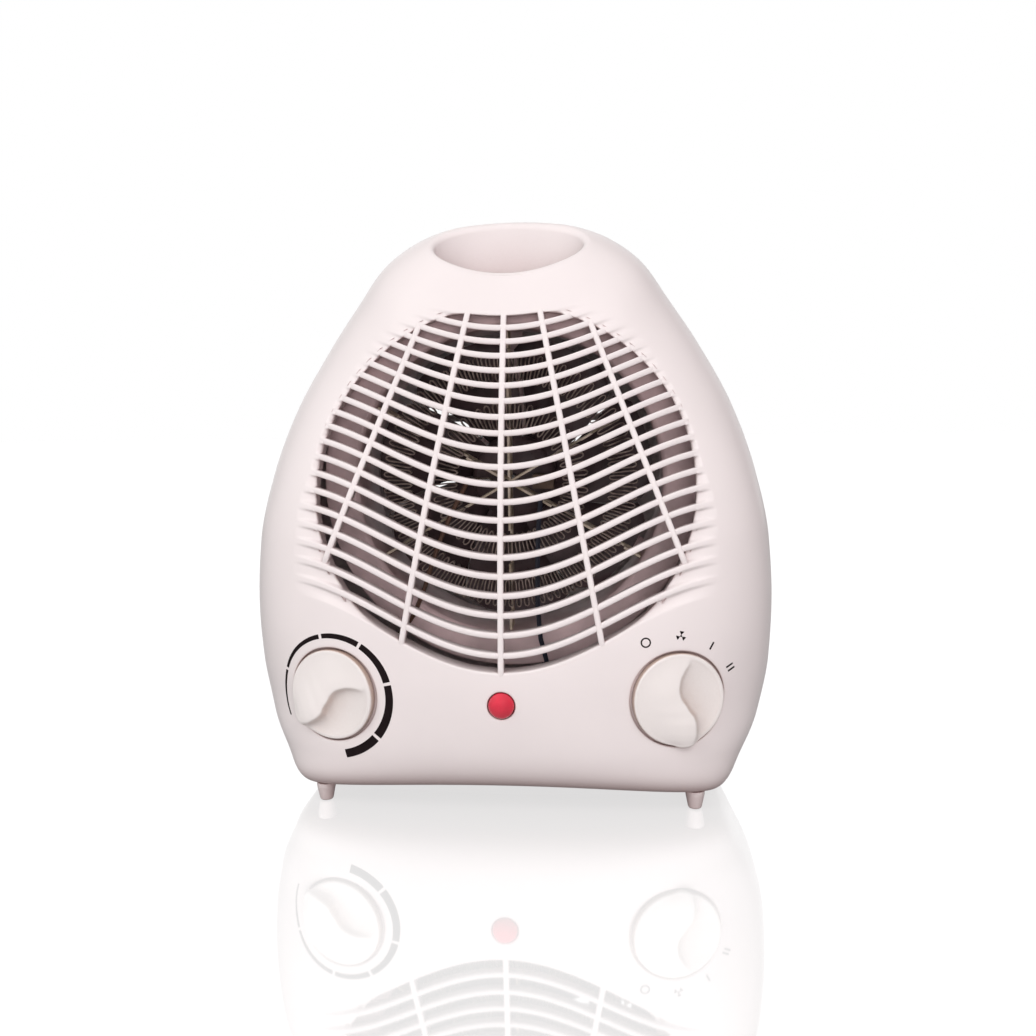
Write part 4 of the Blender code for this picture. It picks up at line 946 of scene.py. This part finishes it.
make("rear_shell", verts, faces, "shell_plastic", "heater", ("rear_housing",), angle=40.0,
     outward=((70.0, float(face_y(70.0, 150.0, 1)), 150.0), (0, 1, 0)), thick=SHELL_T)

# ----------------------------------------------------------------------- feet
for fx, fy, label in ((-82.0, -43.0, "front_left"), (82.0, -43.0, "front_right"),
                      (-76.0, 26.0, "rear_left"), (76.0, 26.0, "rear_right")):
    under = float(underside(fx))
    s = Shape()
    prof = rounded([(0, 0), (2.6, 0), (3.0, 0.6), (4.15, under - 0.2), (4.15, under + 1.5), (0, under + 1.5)], 0.4)
    s.turned((fx, fy, 0.0), (0, 0, 1), prof, 48)
    verts, faces = s.data()
    make("foot_%s_peg" % label, verts, faces, "shell_plastic", "heater", ("foot_" + label,))

# ---------------------------------------------------------------------- knobs
crest_line = smooth_table([(-20.0, 3.6), (-15.5, 3.0), (-12.0, 0.9), (-8.0, -0.9), (-4.0, -1.4), (-1.0, -0.7), (2.0, 1.3),
                           (4.5, 2.7), (7.0, 4.6), (10.5, 5.5), (14.5, 5.6), (17.5, 5.0), (19.5, 3.8), (21.5, 2.2)])
crest_high = smooth_table([(-20.0, 1.35), (-15.5, 1.7), (-12.0, 2.1), (-8.0, 2.6), (-3.0, 3.2), (0.2, 3.5), (4.0, 4.1),
                           (7.0, 4.5), (10.5, 4.9), (14.0, 4.8), (16.5, 4.4), (19.0, 3.6), (21.5, 2.5)])
DISC = 1.3


def knob_height(n, q):
    """Height of a knob's face: a crest with a steep side above a hollow and
    a long gentle side that runs out at the rim."""
    rho = np.hypot(n, q)
    c, high = crest_line(n), crest_high(n)
    d = q - c
    hollow = DISC - 1.3 * np.clip(1.0 - (rho / 17.8) ** 2, 0.0, 1.0) ** 0.7
    steep = hollow + (high - hollow) / (1.0 + (np.maximum(d, 0.0) / 1.9) ** 2.6)
    span = np.maximum(c + np.sqrt(np.maximum(KNOB_R ** 2 - n * n, 4.0)), 2.5)
    gentle = high + (DISC - high) * step(-d / span)
    return np.where(d > 0, steep, gentle)


def knob(name, sign, nose_deg, body, node):
    axis = knob_axis(sign)
    up = np.array([0.0, 0.0, 1.0])
    across = np.cross(up, axis)
    across /= np.linalg.norm(across)
    a = math.radians(nose_deg)
    nose = up * math.cos(a) + across * math.sin(a)
    left = -across * math.cos(a) + up * math.sin(a)
    base = knob_base(sign)
    m = 288
    al = np.linspace(-math.pi, math.pi, m, endpoint=False)
    bump = np.exp(-(np.abs(al - 0.10) / 0.18) ** 3.0)
    rim = KNOB_R + 1.2 * bump
    fil = 0.9 + 0.9 * bump

    def ring(rho, h):
        return base + (rho * np.cos(al))[:, None] * nose + (rho * np.sin(al))[:, None] * left + np.broadcast_to(h, al.shape)[:, None] * axis

    s = Shape()
    rings = []
    for t in np.linspace(0.02, 1.0, 62):
        rho = (rim - fil) * t
        rings.append(ring(rho, knob_height(rho * np.cos(al), rho * np.sin(al))))
    rho = rim - fil
    top = knob_height(rho * np.cos(al), rho * np.sin(al))
    for phi in np.linspace(15, 90, 6):
        f = math.radians(phi)
        rings.append(ring(rim - fil + fil * math.sin(f), top - fil * (1 - math.cos(f))))
    h1 = top - fil
    for t in (0.35, 0.7, 1.0):
        rings.append(ring(rim + (KNOB_R - rim) * t, h1 + (-0.2 - h1) * t))
    rings.append(ring(np.full(m, KNOB_R), -1.0))
    rings.append(ring(np.full(m, KNOB_R), -2.0))
    rings.append(ring(np.full(m, KNOB_R - 0.4), -2.4))
    rings.append(ring(np.full(m, 16.8), -2.4))
    rings.append(ring(np.full(m, 16.8), -0.8))
    rings.append(ring(np.full(m, 3.3), -0.8))
    rings.append(ring(np.full(m, 3.3), 0.4))
    s.rings(rings, cap=True)
    verts, faces = s.data()
    return make(name, verts, faces, "knob_plastic", body, (node,), angle=48.0)


knob("thermostat_dial", -1, -118.0, "thermostat_control", "thermostat_knob")
knob("selector_dial", 1, 180.0, "selector_control", "selector_knob")


# --------------------------------------------------------------------- prints
class Print(Shape):
    """Ink laid on the face over a dial, a tenth of a millimetre thick."""

    def strip(self, sign, left, right, closed=False):
        left, right = np.array(left, float), np.array(right, float)
        rings = []
        tops = [on_dial(sign, left[:, 0] * (1 - t) + right[:, 0] * t, left[:, 1] * (1 - t) + right[:, 1] * t, 0.07)
                for t in (0.0, 0.33, 0.67, 1.0)]
        lows = [on_dial(sign, left[:, 0] * (1 - t) + right[:, 0] * t, left[:, 1] * (1 - t) + right[:, 1] * t, -0.12)
                for t in (1.0, 0.0)]
        for i in range(len(left)):
            rings.append(np.array([c[i] for c in tops + lows]))
        self.rings(rings, True, closed)

    def arc(self, sign, centre, r0, r1, a0, a1, closed=False):
        n = max(6, int(abs(a1 - a0) / 2.0))
        t = np.radians(np.linspace(a0, a1, n + (0 if closed else 1), endpoint=not closed))
        r0 = np.interp(np.linspace(0, 1, len(t)), [0, 1], r0) if isinstance(r0, tuple) else np.full(len(t), r0)
        r1 = np.interp(np.linspace(0, 1, len(t)), [0, 1], r1) if isinstance(r1, tuple) else np.full(len(t), r1)
        self.strip(sign, np.stack([centre[0] + r0 * np.cos(t), centre[1] + r0 * np.sin(t)], 1),
                   np.stack([centre[0] + r1 * np.cos(t), centre[1] + r1 * np.sin(t)], 1), closed)

    def line(self, sign, p, q, width):
        p, q = np.array(p, float), np.array(q, float)
        d = (q - p) / np.linalg.norm(q - p)
        n = np.array([-d[1], d[0]]) * width / 2
        t = np.linspace(0, 1, 6)[:, None]
        c = p + (q - p) * t
        self.strip(sign, c + n, c - n)


scale = Print()
STOPS = [(208.0, 161.2), (158.2, 102.5), (99.5, 60.8), (57.8, 15.0), (12.0, -39.5), (-42.5, -78.0)]


def stroke(angle):
    t = (208.0 - angle) / 286.0
    return 0.7 + 3.1 * min(1.0, t * 1.15)


for a0, a1 in STOPS:
    n = max(4, int(abs(a1 - a0) / 2.0))
    t = np.linspace(a0, a1, n + 1)
    w = np.array([stroke(v) for v in t])
    r = np.radians(t)
    near = 24.7 + 1.7 * step((t - 160.0) / 48.0)
    scale.strip(-1, np.stack([near * np.cos(r), near * np.sin(r)], 1),
                np.stack([(near + w) * np.cos(r), (near + w) * np.sin(r)], 1))
verts, faces = scale.data()
make("thermostat_scale", verts, faces, "print_ink", "heater", smooth=False)

marks = Print()


def polar(r, deg):
    return np.array([r * math.cos(math.radians(deg)), r * math.sin(math.radians(deg))])


marks.arc(1, (-14.0, 24.7), 1.55, 2.15, 0.0, 360.0, True)
fan_c = np.array([0.8, 27.0])
marks.arc(1, fan_c, 0.0001, 0.42, 0.0, 360.0, True)
for i in range(3):
    b = 90.0 + 120.0 * i
    t = np.linspace(0, 1, 9)
    left = [fan_c + polar(0.5 + 1.7 * v, b - 8.0 - 30.0 * math.sin(math.pi * min(v * 0.5 + 0.1, 1.0))) for v in t]
    right = [fan_c + polar(0.5 + 1.7 * v, b + 14.0 * math.sin(math.pi * v * 0.7)) for v in t]
    marks.strip(1, left, right)
c = np.array([14.3, 22.0])
d = polar(1.75, 60.0)
marks.line(1, c - d, c + d, 0.74)
c = np.array([23.4, 11.8])
d = polar(1.75, 27.0)
o = polar(0.95, 120.0)
marks.line(1, c - d + o, c + d + o, 0.74)
marks.line(1, c - d - o, c + d - o, 0.74)
verts, faces = marks.data()
make("selector_marks", verts, faces, "print_ink", "heater", smooth=False)

# ----------------------------------------------------------------------- lamp
lamp_y = float(face_y(0.0, LAMP_Z))
s = Shape()
dome = [(0, 2.5)] + [(5.55 * math.sin(math.radians(t)), -0.5 + 3.0 * math.cos(math.radians(t))) for t in np.linspace(6, 90, 15)]
s.turned((0, lamp_y, LAMP_Z), (0, -1, 0), dome + [(5.55, -6.0), (4.0, -6.0), (4.0, -1.0), (0, 0.3)], 72)
verts, faces = s.data()
make("lamp_dome", verts, faces, "red_lens", "heater", ("lamp_lens",))

# ------------------------------------------------------------------------ duct
s = Shape()
s.turned((0, 0, FAN_Z), (0, 1, 0),
         rounded([(68.5, 3.0), (68.5, -17.0), (70.0, -18.6), (84.0, -18.6), (84.0, -16.4), (71.5, -16.2), (70.6, -14.5), (70.6, 24.0),
                  (68.5, 24.0), (68.5, 3.0)], 1.0, 4)[:-1], 180)
s.turned((0, 0, FAN_Z), (0, 1, 0), [(9.0, 22.0), (24.5, 22.0), (24.5, 24.0), (9.0, 24.0)], 96)
for i in range(3):
    a = math.radians(90 + 120 * i)
    d, w = np.array([math.cos(a), 0, math.sin(a)]), np.array([-math.sin(a), 0, math.cos(a)])
    ring = lambda u: np.array([np.array([0, y, FAN_Z]) + d * u + w * v for v, y in ((-3.5, 21.9), (3.5, 21.9), (3.1, 23.9), (-3.1, 23.9))])
    s.rings([ring(u) for u in (20.0, 35.0, 50.0, 69.0)])
for i in range(4):
    a = math.radians(45 + 90 * i)
    d, w = np.array([math.sin(a), 0, math.cos(a)]), np.array([-math.cos(a), 0, math.sin(a)])
    ring = lambda u, k: np.array([np.array([0, y, FAN_Z]) + d * u + w * v * k for v, y in ((-4.5, 21.4), (4.5, 21.4), (4.5, 24.0), (-4.5, 24.0))])
    s.rings([ring(70.0, 1.0), ring(78.5, 1.0), ring(80.4, 0.75), ring(81.0, 0.4)])
verts, faces = s.data()
make("fan_duct", verts, faces, "duct_plastic", "heater", ("air_duct",), angle=45.0)

# -------------------------------------------------------------------- impeller
s = Shape()
s.turned((0, 0, FAN_Z), (0, 1, 0),
         rounded([(2.3, 3.2), (9.0, 3.2), (14.0, 3.6), (18.5, 5.2), (20.0, 8.0), (20.0, 18.0), (17.6, 18.0), (17.6, 8.0), (5.0, 7.0),
                  (5.0, 17.0), (2.3, 17.0)], 1.4, 4), 120)
for i in range(7):
    a0 = 2 * math.pi * i / 7
    rings = []
    for t in np.linspace(0, 1, 18):
        r = 18.8 + (65.0 - 18.8) * t
        sweep = math.radians(16.0) * t
        half = math.radians(24.9 - 0.3 * t)
        pitch = 5.6 - 1.0 * t
        tip = 1.0 - 0.35 * step(np.array((t - 0.9) / 0.1))
        sec = []
        for sgn in (1, -1):
            for u in (np.linspace(-1, 1, 13) if sgn > 0 else np.linspace(1, -1, 13)):
                ang = a0 + sweep + u * half * tip
                camber = 1.1 * (1 - u * u)
                th = 0.7 * (1.0 - abs(u) ** 6 * 0.75)
                sec.append((r * math.cos(ang), 11.5 + u * pitch * tip - camber + sgn * th, FAN_Z + r * math.sin(ang)))
        rings.append(np.array(sec))
    s.rings(rings)
verts, faces = s.data()
# the blades take the paler fan plastic: painted light lifting the dark interior
make("impeller", verts, faces, "fan_plastic_painted_light", "fan", ("fan_impeller",), angle=45.0)

# ----------------------------------------------------------------------- coils


def ribbon(name, r0, r1, teeth, node):
    s = Shape()
    n = teeth * 14
    a = np.linspace(0, 2 * math.pi, n, endpoint=False)
    wave = np.cos(teeth * a)
    wave = np.sign(wave) * np.abs(wave) ** 0.7
    lean = 0.30 * 2 * math.pi / teeth * np.sin(2 * teeth * a) * 0.5
    r = 0.5 * (r0 + r1) + 0.5 * (r1 - r0) * wave
    ang = a + lean
    y0 = -13.6 + 0.25 * np.sin(9 * a)
    px, pz = r * np.cos(ang), r * np.sin(ang)
    tx, tz = np.roll(px, -1) - np.roll(px, 1), np.roll(pz, -1) - np.roll(pz, 1)
    ln = np.hypot(tx, tz)
    nx, nz = -tz / ln, tx / ln
    rings = []
    for i in range(n):
        rings.append(np.array([(px[i] + nx[i] * o, y0[i] + d, FAN_Z + pz[i] + nz[i] * o)
                               for o, d in ((-0.24, -1.5), (0.24, -1.5), (0.24, 1.5), (-0.24, 1.5))]))
    s.rings(rings, True, True)
    verts, faces = s.data()
    make(name, verts, faces, "nichrome", "heater", (node,), angle=60.0)


ribbon("element_outer", 45.0, 57.5, 96, "heating_coil_outer")
ribbon("element_inner", 24.0, 35.5, 54, "heating_coil_inner")

# ------------------------------------------------------------ cord, plug, tie
HANK, HANK_A, HANK_B, TURNS = (0.0, 108.0), 62.0, 24.0, 3
path = [(42.0, 37.0, 24.0), (42.0, 60.0, 24.0), (42.0, 81.0, 24.0), (43.0, 86.0, 24.6), (52.0, 96.0, 28.4)]
n = TURNS * 20
for i in range(n + 1):
    t = i / 20.0
    a = 2 * math.pi * t
    z = 3.4 + 7.0 * (TURNS - t) + 4.0 * max(0.0, 1.0 - 3.0 * t) ** 2
    path.append((HANK[0] + HANK_A * math.cos(a), HANK[1] + HANK_B * math.sin(a), z))
path += [(57.0, 115.5, 3.4), (48.0, 115.0, 5.5), (41.0, 110.0, 12.0), (35.0, 108.0, 17.0), (24.0, 108.0, 17.3)]
s = Shape()
s.tube(spline(path, 5), 3.2, 20)
verts, faces = s.data()
make("supply_cord", verts, faces, "cord_sheath", "heater", ("power_cord",), angle=60.0)

s = Shape()
grip = [(3.6, 45.0), (5.9, 45.0), (5.9, 54.6), (8.6, 56.2), (8.6, 58.6)]
for i in range(5):
    y0 = 59.2 + i * 3.9
    r = 7.4 - 0.55 * i
    grip += [(r - 1.3, y0), (r - 1.3, y0 + 1.2), (r, y0 + 1.7), (r - 0.1, y0 + 3.3)]
grip += [(4.3, 80.0), (3.5, 80.0)]
s.turned((42.0, 0.0, 24.0), (0, 1, 0), rounded(grip, 0.5, 3), 64)
verts, faces = s.data()
make("cord_boot", verts, faces, "black_plastic", "heater", ("cord_grip",), angle=45.0)

s = Shape()
plug = [(3.4, 0.0), (5.4, 0.0), (6.0, 3.0), (5.6, 4.0), (6.4, 7.0), (6.0, 8.0), (7.4, 10.5), (15.5, 17.0), (17.0, 19.5), (17.0, 22.5),
        (16.3, 23.4), (16.3, 24.6), (17.0, 25.5), (17.0, 28.0), (16.3, 28.9), (16.3, 30.1), (17.0, 31.0), (17.0, 35.6), (16.0, 37.0),
        (0, 37.0), (0, 14.0), (3.4, 14.0)]
s.turned((30.0, 108.0, 17.3), (-1, 0, 0), rounded(plug, 0.7, 4), 96)
verts, faces = s.data()
make("plug", verts, faces, "cord_sheath", "heater", ("plug_body",), angle=45.0)
for sgn, label in ((-1, "lower"), (1, "upper")):
    s = Shape()
    s.turned((1.5, 108.0, 17.3 + sgn * 9.5), (-1, 0, 0), rounded([(0, 0), (2.4, 0), (2.4, 27.5), (0, 27.5)], 1.1, 5), 40)
    verts, faces = s.data()
    make("pin_" + label, verts, faces, "steel", "heater", ("plug_pin_" + label,))

s = Shape()
yt = 84.0
band = []
for cy, cz, a0 in ((2.4, 2.1, -90), (2.4, 21.9, 0), (-2.4, 21.9, 90), (-2.4, 2.1, 180)):
    for t in np.linspace(a0, a0 + 90, 7):
        band.append((cy + 1.5 * math.cos(math.radians(t)), cz + 1.5 * math.sin(math.radians(t))))
band = np.array(band)
d = np.roll(band, -1, 0) - np.roll(band, 1, 0)
d /= np.linalg.norm(d, axis=1)[:, None]
rings = []
for (y, z), (ty, tz) in zip(band, d):
    ny, nz = tz, -ty
    rings.append(np.array([(-18.0 + a, yt + 1.0 + y + ny * o, z + nz * o) for a, o in
                           ((-2.0, -0.35), (-1.7, -0.45), (1.7, -0.45), (2.0, -0.35), (2.0, 0.3), (1.7, 0.45), (-1.7, 0.45), (-2.0, 0.3))]))
s.rings(rings, True, True)
head = lambda y, k: np.array([(-18.0 + a * k, y, 12.0 + b * k) for a, b in ((-2.8, -3.2), (2.8, -3.2), (3.1, -2.6), (3.1, 2.6), (2.8, 3.2), (-2.8, 3.2), (-3.1, 2.6), (-3.1, -2.6))])
s.rings([head(yt + 1.0 - 3.6, 1.0), head(yt + 1.0 - 6.6, 1.0), head(yt + 1.0 - 7.0, 0.85)])
verts, faces = s.data()
make("tie_band", verts, faces, "black_plastic", "heater", ("cable_tie",), angle=45.0)


def cross_screw(name, tip, axis, length, node):
    """A pan head with a shallow round recess, on its shank."""
    axis = np.array(axis, float)
    s = Shape()
    s.turned(tip, axis, rounded([(0, 0), (0.6, 0.2), (1.5, 1.8), (1.5, length), (2.9, length), (2.9, length + 0.9), (2.0, length + 1.9),
                                 (1.2, length + 2.0), (0.9, length + 1.0), (0, length + 0.9)], 0.25, 3), 48)
    u = np.cross([0.0, 0.0, 1.0], axis)
    w = np.cross(axis, u)
    top = np.array(tip, float) + axis * (length + 1.98)
    verts, faces = s.data()
    make(name, verts, faces, "steel", "heater", (node,), angle=45.0)


for i, (x, z) in enumerate(CASE_POSTS):
    cross_screw("housing_screw_%d" % (i + 1), (x, float(seam_y(z)) - 10.5, z), (0.0, 1.0, 0.0), 19.8, "case_screw_%d" % (i + 1))


# ------------------------------------------------------- carried-over CAD nodes
def node_slot(obj):
    names = [m.name.split(".")[0] for m in obj.data.materials if m]
    return names[0] if names and names[0] in MAT else "steel"


for name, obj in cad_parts.items():
    if obj.hide_render:
        continue
    key = node_slot(obj)
    obj.data.materials.clear()
    obj.data.materials.append(MAT[key])

# ----------------------------------------------------------- floor, light, eye
scene = bpy.context.scene
ROOM_DARK, ROOM_LIGHT, FLOOR_GLOW = 0.06, 0.56, 0.16
world = bpy.data.worlds.new("studio")
scene.world = world
world.use_nodes = True
wt = world.node_tree
wt.nodes.clear()


def wnode(kind, **values):
    n = wt.nodes.new(kind)
    for key, value in values.items():
        setattr(n, key, value)
    return n


# the room is brighter at the upper left in front, and dims to a warm grey at
# the right and behind; straight behind stands a white backdrop
w_out = wnode("ShaderNodeOutputWorld")
w_bg = wnode("ShaderNodeBackground")
w_coord = wnode("ShaderNodeTexCoord")
w_dot = wnode("ShaderNodeVectorMath", operation="DOT_PRODUCT")
w_dot.inputs[1].default_value = (-0.62, -0.42, 0.66)
w_map = wnode("ShaderNodeMapRange")
w_map.inputs["From Min"].default_value = -0.9
w_map.inputs["From Max"].default_value = 1.0
w_map.inputs["To Min"].default_value = ROOM_DARK
w_map.inputs["To Max"].default_value = ROOM_LIGHT
w_col = wnode("ShaderNodeMix", data_type="RGBA")
w_col.inputs["A"].default_value = (1.0, 0.86, 0.86, 1.0)
w_col.inputs["B"].default_value = (1.0, 0.995, 0.985, 1.0)
w_tone = wnode("ShaderNodeMapRange")
w_tone.inputs["From Min"].default_value = -0.6
w_tone.inputs["From Max"].default_value = 0.7
w_path = wnode("ShaderNodeLightPath")
w_sep = wnode("ShaderNodeSeparateXYZ")
w_back = wnode("ShaderNodeMath", operation="GREATER_THAN")
w_back.inputs[1].default_value = 0.70
w_gloss = wnode("ShaderNodeMath", operation="MULTIPLY")
w_any = wnode("ShaderNodeMath", operation="MAXIMUM")
w_str = wnode("ShaderNodeMix", data_type="FLOAT")
w_str.inputs["B"].default_value = 1.0
w_final = wnode("ShaderNodeMix", data_type="RGBA")
w_final.inputs["B"].default_value = (1.0, 1.0, 1.0, 1.0)
L = wt.links.new
L(w_coord.outputs["Generated"], w_dot.inputs[0])
L(w_dot.outputs["Value"], w_map.inputs["Value"])
L(w_dot.outputs["Value"], w_tone.inputs["Value"])
L(w_tone.outputs["Result"], w_col.inputs["Factor"])
L(w_coord.outputs["Generated"], w_sep.inputs[0])
L(w_sep.outputs["Y"], w_back.inputs[0])
L(w_back.outputs[0], w_gloss.inputs[0])
L(w_path.outputs["Is Glossy Ray"], w_gloss.inputs[1])
L(w_gloss.outputs[0], w_any.inputs[0])
L(w_path.outputs["Is Camera Ray"], w_any.inputs[1])
L(w_any.outputs[0], w_str.inputs["Factor"])
L(w_map.outputs["Result"], w_str.inputs["A"])
L(w_any.outputs[0], w_final.inputs["Factor"])
L(w_col.outputs["Result"], w_final.inputs["A"])
L(w_final.outputs["Result"], w_bg.inputs["Color"])
L(w_str.outputs["Result"], w_bg.inputs["Strength"])
L(w_bg.outputs["Background"], w_out.inputs["Surface"])

mesh = bpy.data.meshes.new("floor")
mesh.from_pydata([(-3, -3, -0.0002), (3, -3, -0.0002), (3, 3, -0.0002), (-3, 3, -0.0002)], [], [(0, 1, 2, 3)])
floor = bpy.data.objects.new("floor", mesh)
scene.collection.objects.link(floor)
fm, ft, fb = tree("floor_gloss")
ft.nodes.remove(fb)
fo = [n for n in ft.nodes if n.type == "OUTPUT_MATERIAL"][0]
f_path = ft.nodes.new("ShaderNodeLightPath")
f_level = ft.nodes.new("ShaderNodeMapRange")
f_level.inputs["To Min"].default_value = FLOOR_GLOW
f_level.inputs["To Max"].default_value = 1.0
em = ft.nodes.new("ShaderNodeEmission")
di = ft.nodes.new("ShaderNodeBsdfDiffuse")
di.inputs["Color"].default_value = (0.16, 0.155, 0.155, 1)
gl = ft.nodes.new("ShaderNodeBsdfGlossy")
gl.inputs["Roughness"].default_value = 0.035
gl.inputs["Color"].default_value = (1, 1, 1, 1)
ad = ft.nodes.new("ShaderNodeAddShader")
mx = ft.nodes.new("ShaderNodeMixShader")
mx.inputs["Fac"].default_value = 0.32
ft.links.new(f_path.outputs["Is Camera Ray"], f_level.inputs["Value"])
ft.links.new(f_level.outputs["Result"], em.inputs["Strength"])
ft.links.new(em.outputs[0], ad.inputs[0])
ft.links.new(di.outputs[0], ad.inputs[1])
ft.links.new(ad.outputs[0], mx.inputs[1])
ft.links.new(gl.outputs[0], mx.inputs[2])
ft.links.new(mx.outputs[0], fo.inputs["Surface"])
mesh.materials.append(fm)


def area(name, loc, aim, size, power, colour=(1, 1, 1)):
    light = bpy.data.lights.new(name, "AREA")
    light.shape = "RECTANGLE"
    light.size, light.size_y = size
    light.energy = power
    light.color = colour
    obj = bpy.data.objects.new(name, light)
    obj.location = loc
    obj.rotation_euler = (Vector(aim) - Vector(loc)).to_track_quat("-Z", "Y").to_euler()
    obj.visible_glossy = False
    scene.collection.objects.link(obj)
    return obj


area("key_light", (-0.85, -0.80, 0.95), (0.0, 0.0, 0.13), (0.7, 0.7), 6.4, (1.0, 0.985, 0.975))
area("fill_light", (0.20, -1.30, 0.28), (0.0, 0.0, 0.10), (0.8, 0.6), 6.0, (1.0, 0.93, 0.93))
area("top_light", (-0.1, 0.15, 1.2), (0.0, 0.0, 0.15), (0.9, 0.9), 0.15)
area("right_light", (0.62, -0.85, 1.00), (0.0, 0.0, 0.13), (0.6, 0.6), 5.2, (1.0, 0.955, 0.955))

az, el, roll_a = math.radians(5.83), math.radians(8.0), math.radians(-0.88)
fwd = np.array([-math.sin(az) * math.cos(el), math.cos(az) * math.cos(el), -math.sin(el)])
right = np.array([math.cos(az), math.sin(az), 0.0])
upv = np.cross(right, fwd)
c, s_ = math.cos(roll_a), math.sin(roll_a)
right2 = c * right + s_ * upv
up2 = -s_ * right + c * upv
eye = to_frame([np.array([0.0, 0.0, 115.0]) - fwd * 500.0])[0]
cam = bpy.data.cameras.new("photo_camera")
cam.sensor_width = 36.0
cam.lens = 1067.83 / 1036.0 * 36.0
cam.shift_x = (518.0 - 513.47) / 1036.0
cam.shift_y = (532.03 - 518.0) / 1036.0
cam.clip_start = 0.01
cam_obj = bpy.data.objects.new("photo_camera", cam)
scene.collection.objects.link(cam_obj)
rot = Matrix(((right2[0], up2[0], -fwd[0], eye[0]), (right2[1], up2[1], -fwd[1], eye[1]), (right2[2], up2[2], -fwd[2], eye[2]),
              (0, 0, 0, 1)))
cam_obj.matrix_world = rot
scene.camera = cam_obj
scene.view_settings.view_transform = "Standard"
scene.view_settings.look = "None"
